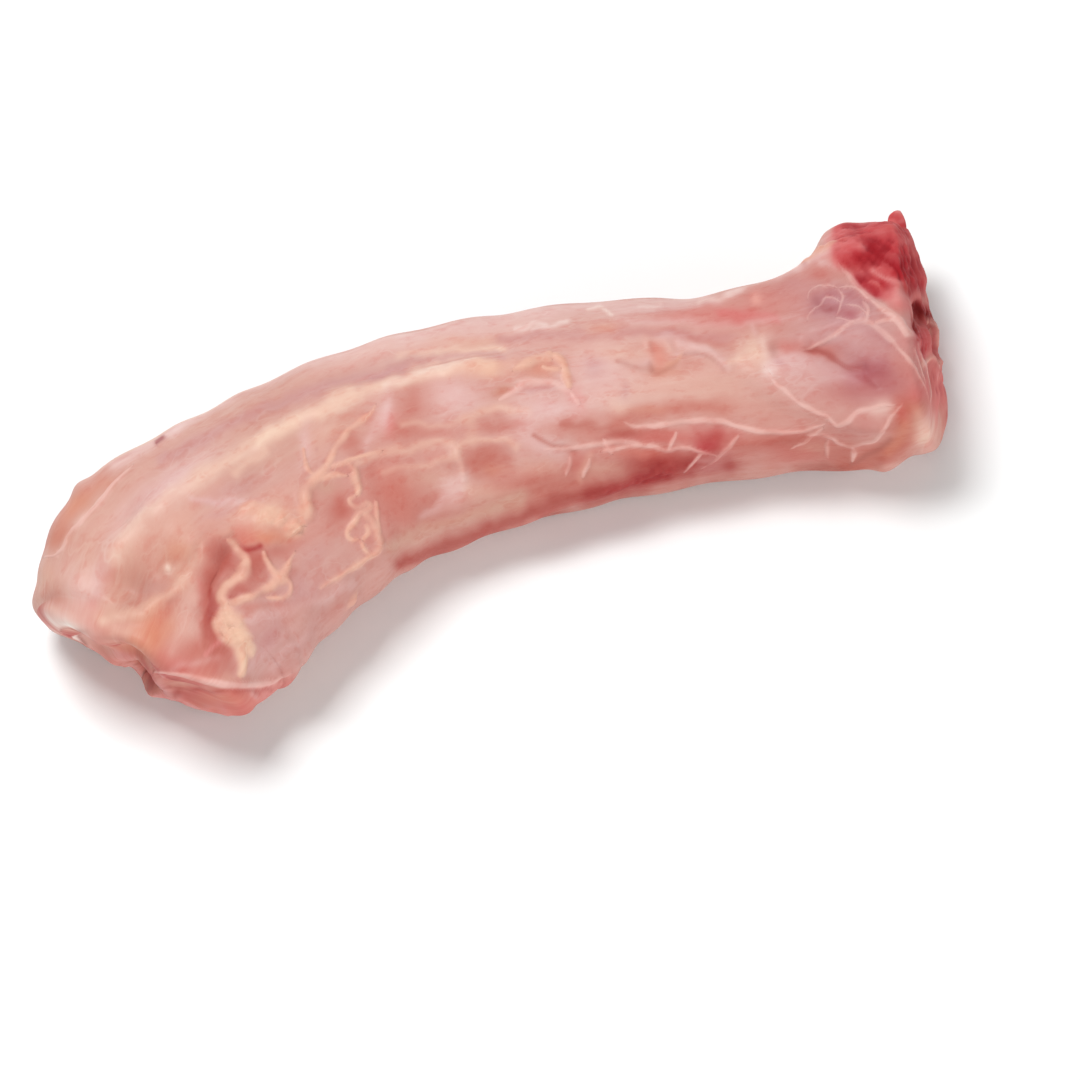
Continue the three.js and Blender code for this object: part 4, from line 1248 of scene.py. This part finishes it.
lift = fine_relief(coat, flat_points, flat_grain) * ease(0.0, FLOOR_REACH, flat_points[:, 2])
flat_points = flat_points + lift[:, None] * flat_normals
rings = flat_points.reshape(rings.shape)
final_normals = ring_normals(rings, normals).reshape(-1, 3)


# ---- Strands, threads and lumps laid on the meat ----

LEAST_SEEN = 0.2       # cosine to the camera of a vertex that a pixel may be put on
NEIGHBOURS = 4
MARGIN = 1.5           # how far round a surface its neighbours are looked for
UNDERSIDE = 0.45       # how deep in the meat the hidden side of a strand or lump lies
LIFT = 0.015           # how far its middle is above the meat's own coarser surface
SUNK = 0.03            # how far its edge dips into the meat, so that it grows out of it
EDGE = 1.4             # half widths from its middle to its edge
BEND = 0.8             # pixels by which a route wanders, and over what length
BEND_LENGTH = 16.0
MERGING = 3.0          # how crisply two of them merge where they meet
STRAND_CROWN = 0.5     # height for each millimetre of half width
THREAD_CROWN = 0.35
FAT_STRENGTH = 0.85    # how much of the colour of a strand or lump is its own
RIDGE_STEEP = 1.6      # how steeply a strand's height falls off across it
RIDGE_COLUMNS = 15
RIDGE_BENEATH = [0.9, 0.0, -0.9]   # half widths from its middle to the columns beneath
MOUND_STEEP = 2.2
MOUND_RINGS = 20
MOUND_COLUMNS = 40
MOUND_BENEATH = [1.0, 0.5]
TIP_WIDTH = 0.15       # of a strand's or thread's end, as a share of its width
# The share by which each of these is uneven, and over what length.
WIDTH_UNEVEN = (0.16, 2.6)
HEIGHT_UNEVEN = (0.25, 3.4)
PAINT_UNEVEN = (0.3, 3.0)
KNOBS = (0.22, 1.5)

seen = np.flatnonzero(final_normals @ TO_CAMERA > LEAST_SEEN)
seen_places = to_photo(flat_points[seen])


def to_skin(pixels):
    """Points and normals of the meat under pixels, where each one's ray meets the nearest vertex's plane."""
    pixels = np.asarray(pixels, float)
    gaps = ((pixels[:, None, :] - seen_places[None]) ** 2).sum(-1)
    nearest = seen[gaps.argmin(1)]
    normal = final_normals[nearest]
    ray = photo_rays(pixels)
    reach = ((flat_points[nearest] - EYE) * normal).sum(-1) / (ray * normal).sum(-1)
    return EYE + reach[:, None] * ray, normal


def settle(points):
    """Feet of points on the meat, with its normal, tone, grain and bareness there.

    They are means over the nearest vertices, weighted by 1 / distance^2: the point is dropped on the plane
    of each.
    """
    inside = (flat_points > points.min(0) - MARGIN) & (flat_points < points.max(0) + MARGIN)
    near = np.flatnonzero(inside.all(-1))
    around = flat_points[near]
    gaps = (points**2).sum(-1)[:, None] + (around**2).sum(-1) - 2 * points @ around.T
    picked = np.argpartition(gaps, NEIGHBOURS, axis=1)[:, :NEIGHBOURS]
    weight = 1 / (np.take_along_axis(gaps, picked, 1).clip(0) + 1e-3)
    weight = (weight / weight.sum(1, keepdims=True))[..., None]
    chosen = near[picked]
    normal = final_normals[chosen]
    drop = ((points[:, None, :] - flat_points[chosen]) * normal).sum(-1, keepdims=True)
    feet = points - (weight * drop * normal).sum(1)
    means = [(weight * values[chosen]).sum(1) for values in (coat.tone, flat_grain, coat.bare[:, None])]
    return feet, unit((weight * normal).sum(1)), *means


def uneven(points, share_and_length, seed):
    """A factor that wanders round 1 by a share, over a length."""
    share, length = share_and_length
    return 1 + share * ripples(points, length, seed)


def eased_line(points):
    """A line's points, each the mean of itself and its neighbours, with the ends kept."""
    inner = 0.25 * points[:-2] + 0.5 * points[1:-1] + 0.25 * points[2:]
    return np.vstack([points[:1], inner, points[-1:]])


class Ridge:
    """A strand or thread along a route on the photo: its height across it is a bell."""

    def __init__(self, route, half_widths, crown, paint, strength, seed):
        pixels = curve_points(route, RIDGE_STEPS)
        line, normal = to_skin(pixels + wobble(pixels, BEND, BEND_LENGTH, seed + 3))
        self.line = eased_line(eased_line(line))
        self.normal = unit(eased_line(eased_line(eased_line(normal))))
        place = np.linspace(0, 1, len(line))
        ends = np.maximum(1 - (2 * place - 1) ** 8, 0) ** 0.5
        widths = PIXEL * np.interp(place, np.linspace(0, 1, len(half_widths)), half_widths)
        tapered = TIP_WIDTH + (1 - TIP_WIDTH) * ends
        self.half = widths * tapered * uneven(self.line, WIDTH_UNEVEN, seed)
        self.high = crown * self.half * ends * uneven(self.line, HEIGHT_UNEVEN, seed + 1)
        self.strength = strength * ends * uneven(self.line, PAINT_UNEVEN, seed + 2).clip(0.3, 1.2)
        self.paint = paint

    def box(self):
        """The corners of a box that holds all that it reaches."""
        reach = 2 * self.half.max()
        return self.line.min(0) - reach, self.line.max(0) + reach

    def at(self, points):
        """How high it is at points on the meat, and its paint's share there."""
        distance, place = nearest_on(points, self.line)
        number = np.arange(len(self.line))
        across = distance / np.interp(place, number, self.half)
        high = np.interp(place, number, self.high) * np.exp(-RIDGE_STEEP * across**2)
        return high, np.interp(place, number, self.strength) * (1 - ease(0.3, 1.2, across))

    def grid(self):
        """Rows of points along it, each from edge to edge and back beneath, with how far out each point is
        and which are on top.
        """
        across = np.concatenate([np.linspace(-EDGE, EDGE, RIDGE_COLUMNS), RIDGE_BENEATH])
        sideways = unit(np.cross(unit(np.gradient(self.line, axis=0)), self.normal))
        points = self.line[:, None] + (self.half[:, None] * across)[..., None] * sideways[:, None]
        top = np.arange(len(across)) < RIDGE_COLUMNS
        return points, np.abs(across) / EDGE, top


class Mound:
    """A lump round a place on the photo: its height is a bell of the distance, made knobbly by ripples."""

    def __init__(self, place, radii, turn, paint, strength, seed):
        centre, normal = to_skin([place])
        self.centre = centre[0]
        self.normal = normal[0]
        self.radii = radii
        self.paint = paint
        self.strength = strength
        self.seed = seed
        sideways = unit(RIGHT - (RIGHT @ self.normal) * self.normal)
        upward = np.cross(self.normal, sideways)
        spin = np.radians(turn)
        self.long_way = np.cos(spin) * sideways + np.sin(spin) * upward
        self.short_way = np.cross(self.normal, self.long_way)

    def box(self):
        """The corners of a box that holds all that it reaches."""
        reach = 2 * max(self.radii)
        return self.centre - reach, self.centre + reach

    def at(self, points):
        """How high it is at points on the meat, and its paint's share there."""
        offset = points - self.centre
        flat = np.stack([offset @ self.long_way / self.radii[0], offset @ self.short_way / self.radii[1],
                         offset @ self.normal / self.radii[0] / 2], -1)
        radius = length_of(flat)[..., 0] + 0.1 * ripples(offset, 1.6, self.seed)
        high = self.radii[2] * uneven(offset, KNOBS, self.seed + 1) * np.exp(-MOUND_STEEP * radius**2)
        return high, self.strength * (1 - ease(0.35, 1.25, radius))

    def grid(self):
        """Rings of points round it, which turn back beneath it, with how far out each point is and which are
        on top.
        """
        radius = np.concatenate([np.linspace(0.04, EDGE, MOUND_RINGS), MOUND_BENEATH])
        turn = np.linspace(0, 2 * np.pi, MOUND_COLUMNS, endpoint=False)
        ring = np.cos(turn)[:, None] * self.radii[0] * self.long_way
        ring = ring + np.sin(turn)[:, None] * self.radii[1] * self.short_way
        top = (np.arange(len(radius)) < MOUND_RINGS)[:, None]
        return self.centre + radius[:, None, None] * ring, radius[:, None] / EDGE, top


def fat_paint(creaminess):
    """The colour of a strand or lump, from pink film (0) to cream fat (1)."""
    return np.array(PINK_FAT) + creaminess * (np.array(CREAM_FAT) - np.array(PINK_FAT))


def thread_widths(width):
    """Half widths along a thread, which is thinner at its ends."""
    return [0.6 * width, width, width, 0.6 * width]


strands = [Ridge(route, half_widths, STRAND_CROWN, fat_paint(creaminess), FAT_STRENGTH, 100 + 3 * number)
           for number, (route, half_widths, creaminess) in enumerate(STRANDS)]
lumps = [Mound(place, np.array(radii), turn, fat_paint(creaminess), FAT_STRENGTH, 200 + 2 * number)
         for number, (place, radii, turn, creaminess) in enumerate(LUMPS)]
threads = [Ridge(route, thread_widths(width), THREAD_CROWN, np.array(THREAD_FILM), strength, 300 + number)
           for number, (route, width, strength) in enumerate(THREADS)]
growths = threads + strands + lumps


def grown(points, tone, bare):
    """How high the ridges and mounds stand at points on the meat, and its tone and bareness with them."""
    high = np.zeros(len(points))
    tone = tone.copy()
    bare = bare.copy()
    for growth in growths:
        low, top = growth.box()
        near = np.flatnonzero(((points > low) & (points < top)).all(-1))
        rise, share = growth.at(points[near])
        high[near] = (high[near] ** MERGING + rise**MERGING) ** (1 / MERGING)
        tone[near] += share[:, None] * (growth.paint - tone[near])
        bare[near] *= 1 - share
    return high, tone, bare


def lay(shape, growth):
    """Adds a closed surface whose top is the meat's with all that grows on it, and whose rest is inside."""
    points, out, top = growth.grid()
    rows, columns, _ = points.shape
    feet, normal, tone, grain, bare = settle(points.reshape(-1, 3))
    high, tone, bare = grown(feet, tone, bare[:, 0])
    above = np.where(top, LIFT - (LIFT + SUNK) * out**4, -UNDERSIDE) + 0 * points[..., 0]
    surface = (feet + (high + above.reshape(-1))[:, None] * normal).reshape(rows, columns, 3)

    def ended(values):
        """Values of the grid, then of the two poles: the means of the first row and of the last."""
        by_row = values.reshape(rows, columns, -1)
        return np.vstack([values.reshape(rows * columns, -1), by_row[[0, -1]].mean(1)])

    shape.add(surface, surface[[0, -1]].mean(1), tone=to_linear(ended(tone)), grain=ended(grain),
              bare=ended(bare)[:, 0])


def with_poles(values):
    """A value for each vertex, then one for each pole: the mean of the ring beside it."""
    by_row = values.reshape(*rings.shape[:2], *values.shape[1:])
    return np.concatenate([values, [by_row[0].mean(0), by_row[-1].mean(0)]])


high, tone, bare = grown(flat_points, coat.tone, coat.bare)
covered = (flat_points + high[:, None] * final_normals).reshape(rings.shape)
# Rows 0 and -1 are the rings nearest the poles, which have shrunk to a point, so the poles are their means.
meat = Shape("neck_meat")
meat.add(covered, covered[[0, -1]].mean(1), grain=with_poles(flat_grain), tone=with_poles(to_linear(tone)),
         bare=with_poles(bare))

fat = Shape("fat_strands")
for growth in strands + lumps:
    lay(fat, growth)
film = Shape("film_threads")
for growth in threads:
    lay(film, growth)


# ---- The torn point of flesh ----

def torn_point(shape):
    """A bent, tapering finger: rings from foot to tip whose radius falls off and whose skin is rippled."""
    share = np.linspace(0, 1, TAB_RINGS)
    turn = np.linspace(0, 2 * np.pi, TAB_COLUMNS, endpoint=False)
    axis = unit(TAB_TIP - TAB_FOOT)
    across = unit(np.cross(axis, UP))
    upward = np.cross(across, axis)
    buried = 0.5 * TAB_FOOT_RADIUS
    reach = -buried + share * (length_of(TAB_TIP - TAB_FOOT) + buried)
    middle = TAB_FOOT + reach[:, None] * axis + (TAB_BEND * share**2)[:, None] * RIGHT
    radius = TAB_FOOT_RADIUS + (TAB_TIP_RADIUS - TAB_FOOT_RADIUS) * share
    radius = radius * np.sqrt(np.clip(1 - share**6, 0, 1))
    circle = np.cos(turn)[:, None] * across + TAB_FLATNESS * np.sin(turn)[:, None] * upward
    points = middle[:, None, :] + radius[:, None, None] * circle
    points += (TAB_RIPPLE * ripples(points, 1.7, 61))[..., None] * circle
    inner = points[1:-1]
    flat = np.vstack([inner.reshape(-1, 3), middle[[0, -1]]])
    paint = Coat(flat[:, :2], np.array(PAINTS["scarlet"]) + 0.0 * flat, 0 * flat[:, 0])
    paint.wash("blood", 0.25 + 0.25 * ripples(flat, 2.5, 63))
    paint.wash("rose", 0.35 + 0.3 * ripples(flat, 2.0, 65))
    paint.wash("film", 0.25 * ease(0.2, 1.0, ripples(flat, 1.8, 64)))
    shape.add(inner, middle[[0, -1]], grain=flat, tone=to_linear(paint.tone), bare=paint.bare)


tear = Shape("torn_flesh")
torn_point(tear)


# ---- Finishes ----

class Value:
    """A socket of a node tree. Arithmetic on it adds Math nodes."""

    def __init__(self, finish, socket):
        self.finish = finish
        self.socket = socket

    def _math(self, operation, first, second=0.0):
        settings = {"operation": operation}
        return self.finish.node("ShaderNodeMath", settings, {0: first, 1: second})

    def __add__(self, other):
        return self._math("ADD", self, other)

    def __sub__(self, other):
        return self._math("SUBTRACT", self, other)

    def __rsub__(self, other):
        return self._math("SUBTRACT", other, self)

    def __mul__(self, other):
        return self._math("MULTIPLY", self, other)

    def __abs__(self):
        return self._math("ABSOLUTE", self)

    __radd__ = __add__
    __rmul__ = __mul__


class Finish:
    """A material and the means to write its node tree."""

    def __init__(self, name):
        self.material = bpy.data.materials.new(name)
        self.material.use_nodes = True
        self.tree = self.material.node_tree
        self.shader = next(n for n in self.tree.nodes if n.type == "BSDF_PRINCIPLED")

    def node(self, kind, settings=None, inputs=None, output=0):
        """Adds a node, sets its settings, then its sockets' values or links, and gives one output."""
        node = self.tree.nodes.new(kind)
        for name, value in (settings or {}).items():
            setattr(node, name, value)
        for name, value in (inputs or {}).items():
            self.feed(node.inputs[name], value)
        return Value(self, node.outputs[output])

    def feed(self, socket, value):
        """Links a Value to a socket, or sets a plain number, vector or colour on it."""
        if isinstance(value, Value):
            self.tree.links.new(value.socket, socket)
        else:
            socket.default_value = value

    def set(self, **inputs):
        """Sets or links sockets of the shader, named with _ for a space."""
        for name, value in inputs.items():
            self.feed(self.shader.inputs[name.replace("_", " ")], value)

    def attribute(self, name, vector=False):
        """A value that the mesh holds."""
        settings = {"attribute_type": "GEOMETRY", "attribute_name": name}
        return self.node("ShaderNodeAttribute", settings, output="Vector" if vector else "Fac")

    def times(self, vector, factors):
        """A vector or colour multiplied part by part."""
        return self.node("ShaderNodeVectorMath", {"operation": "MULTIPLY"}, {0: vector, 1: factors})

    def noise(self, place, stretch, detail=3.0, roughness=0.55):
        """Noise from 0 to 1 whose blobs are as long each way as `stretch`, in the units of the place."""
        scaled = self.times(place, tuple(1 / length for length in stretch))
        inputs = {"Vector": scaled, "Scale": 1.0, "Detail": detail, "Roughness": roughness}
        return self.node("ShaderNodeTexNoise", None, inputs, output="Fac")

    def step(self, value, low, high, bottom=0.0, top=1.0):
        """An S-shaped step of a value from bottom to top as it goes from low to high."""
        inputs = {"Value": value, "From Min": low, "From Max": high, "To Min": bottom, "To Max": top}
        return self.node("ShaderNodeMapRange", {"interpolation_type": "SMOOTHSTEP"}, inputs)

    def mix(self, share, first, second):
        """One colour turned towards another, by a share."""
        settings = {"data_type": "RGBA", "blend_type": "MIX"}
        return self.node("ShaderNodeMix", settings, {0: share, 6: first, 7: second}, output=2)

    def bump(self, height, depth):
        """A normal for a height from 0 to 1 that stands for a depth in metres."""
        return self.node("ShaderNodeBump", None, {"Height": height, "Distance": depth, "Strength": 1.0})


RED_TINT = (0.95, 0.76, 0.74)
PALE_TINT = (1.04, 1.16, 1.17)
WEB_WIDTH = 0.035      # of the pale web's lines, in the noise that they follow


def flesh_finish(name, coat_weight, depth):
    """Moist meat: the tone that its vertices hold, gently mottled, with a soft gloss and a fine grain.

    The mottling is redder and paler patches of noise. A pale web follows the middle of one noise where film
    covers the flesh, and bare flesh is rougher.
    """
    finish = Finish(name)
    place = finish.attribute("grain", vector=True)
    streaks = finish.noise(place, (16.0, 1.3, 1.3), detail=4.0)
    blotches = finish.noise(place, (3.4, 2.2, 2.2), detail=5.0, roughness=0.6)
    patchy = finish.noise(place, (1.7, 1.1, 1.1), detail=3.0)
    fine = finish.noise(place, (0.8, 0.55, 0.55), detail=3.0)
    web = finish.noise(place, (5.0, 2.4, 2.4), detail=2.0)
    tone = finish.attribute("tone", vector=True)
    bare = finish.attribute("bare")
    red = finish.times(tone, RED_TINT)
    pale = finish.times(tone, PALE_TINT)
    mottling = [
        # noise, where in it a patch starts and is full, its strength, and what it turns to
        (blotches, 0.46, 0.72, 0.6, red),
        (streaks, 0.46, 0.7, 0.45, pale),
        (patchy, 0.52, 0.75, 0.5, red),
        (patchy, 0.48, 0.25, 0.4, pale),
    ]
    for noise, low, high, strength, towards in mottling:
        tone = finish.mix(finish.step(noise, low, high) * strength, tone, towards)
    line = finish.step(abs(web - 0.5), 0.0, WEB_WIDTH, 1.0, 0.0)
    tone = finish.mix(line * finish.step(blotches, 0.35, 0.6) * (1.0 - bare) * 0.5, tone, pale)
    tone = finish.mix(finish.step(fine, 0.35, 0.8) * bare * 0.5, tone, red)
    rough = finish.step(fine, 0.3, 0.7, 0.4, 0.52) + bare * 0.25
    height = blotches * 0.4 + fine * 0.25
    finish.set(
        Base_Color=tone, Roughness=rough, Normal=finish.bump(height, depth),
        Specular_IOR_Level=0.08, Coat_Weight=(1.0 - bare * 0.8) * coat_weight, Coat_Roughness=0.3,
    )
    return finish.material


flesh = flesh_finish("raw_flesh", 0.08, 0.00016)
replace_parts(meat.build(flesh), NODE)
tear.build(flesh)
fat.build(flesh_finish("fat", 0.1, 0.00010))
film.build(flesh_finish("film_thread", 0.1, 0.00006))


# ---- Floor, lights and camera ----

FLOOR_HALF = 900.0
FLOOR_COLOUR = (0.905, 0.93, 0.93, 1.0)
STRAIGHT_UP = 0.999    # the upward part of a direction that has no level side of its own
SURROUND = 0.3         # strength of the light from all round


def floor_piece():
    """A wide white floor at the height that the neck rests on."""
    half = FLOOR_HALF * METRES
    mesh = bpy.data.meshes.new("floor")
    corners = [(-half, -half, 0), (half, -half, 0), (half, half, 0), (-half, half, 0)]
    mesh.from_pydata(corners, [], [(0, 1, 2, 3)])
    finish = Finish("white_floor")
    finish.set(Base_Color=FLOOR_COLOUR, Roughness=0.9, Specular_IOR_Level=0.1)
    mesh.materials.append(finish.material)
    floor = bpy.data.objects.new("floor", mesh)
    bpy.context.scene.collection.objects.link(floor)


def to_euler(back):
    """The turn that puts an object's +Z along `back` and its +X level."""
    across = unit(np.cross(UP, back)) if abs(back[2]) < STRAIGHT_UP else RIGHT
    rising = np.cross(back, across)
    return Matrix(np.column_stack([across, rising, back]).tolist()).to_euler()


def area_light(name, place, size, watts):
    """A square soft light of a size in millimetres, at a place from which it looks at the neck's middle."""
    light = bpy.data.lights.new(name, "AREA")
    light.shape = "SQUARE"
    light.size = size * METRES
    light.energy = watts
    lamp = bpy.data.objects.new(name, light)
    bpy.context.scene.collection.objects.link(lamp)
    lamp.location = np.array(place) * METRES
    lamp.rotation_euler = to_euler(unit(place))


def make_camera():
    """The photo's view: a long lens that looks down at the floor by the elevation."""
    lens = bpy.data.cameras.new("camera")
    lens.lens = LENS
    lens.sensor_width = SENSOR
    lens.sensor_fit = "HORIZONTAL"
    camera = bpy.data.objects.new("camera", lens)
    bpy.context.scene.collection.objects.link(camera)
    camera.location = EYE * METRES
    camera.rotation_euler = to_euler(TO_CAMERA)
    bpy.context.scene.camera = camera


def make_world(strength):
    """Even white light from all round."""
    world = bpy.data.worlds.new("studio")
    world.use_nodes = True
    background = world.node_tree.nodes["Background"]
    background.inputs["Color"].default_value = (1.0, 1.0, 1.0, 1.0)
    background.inputs["Strength"].default_value = strength
    bpy.context.scene.world = world


floor_piece()
make_camera()
make_world(SURROUND)
area_light("key", (-175.0, 90.0, 530.0), 190.0, 2.33)
area_light("fill", (80.0, -560.0, 200.0), 420.0, 1.6)
area_light("side", (520.0, -90.0, 170.0), 300.0, 0.75)
area_light("back", (-60.0, 520.0, 260.0), 380.0, 0.8)
bpy.context.scene.view_settings.view_transform = "Standard"
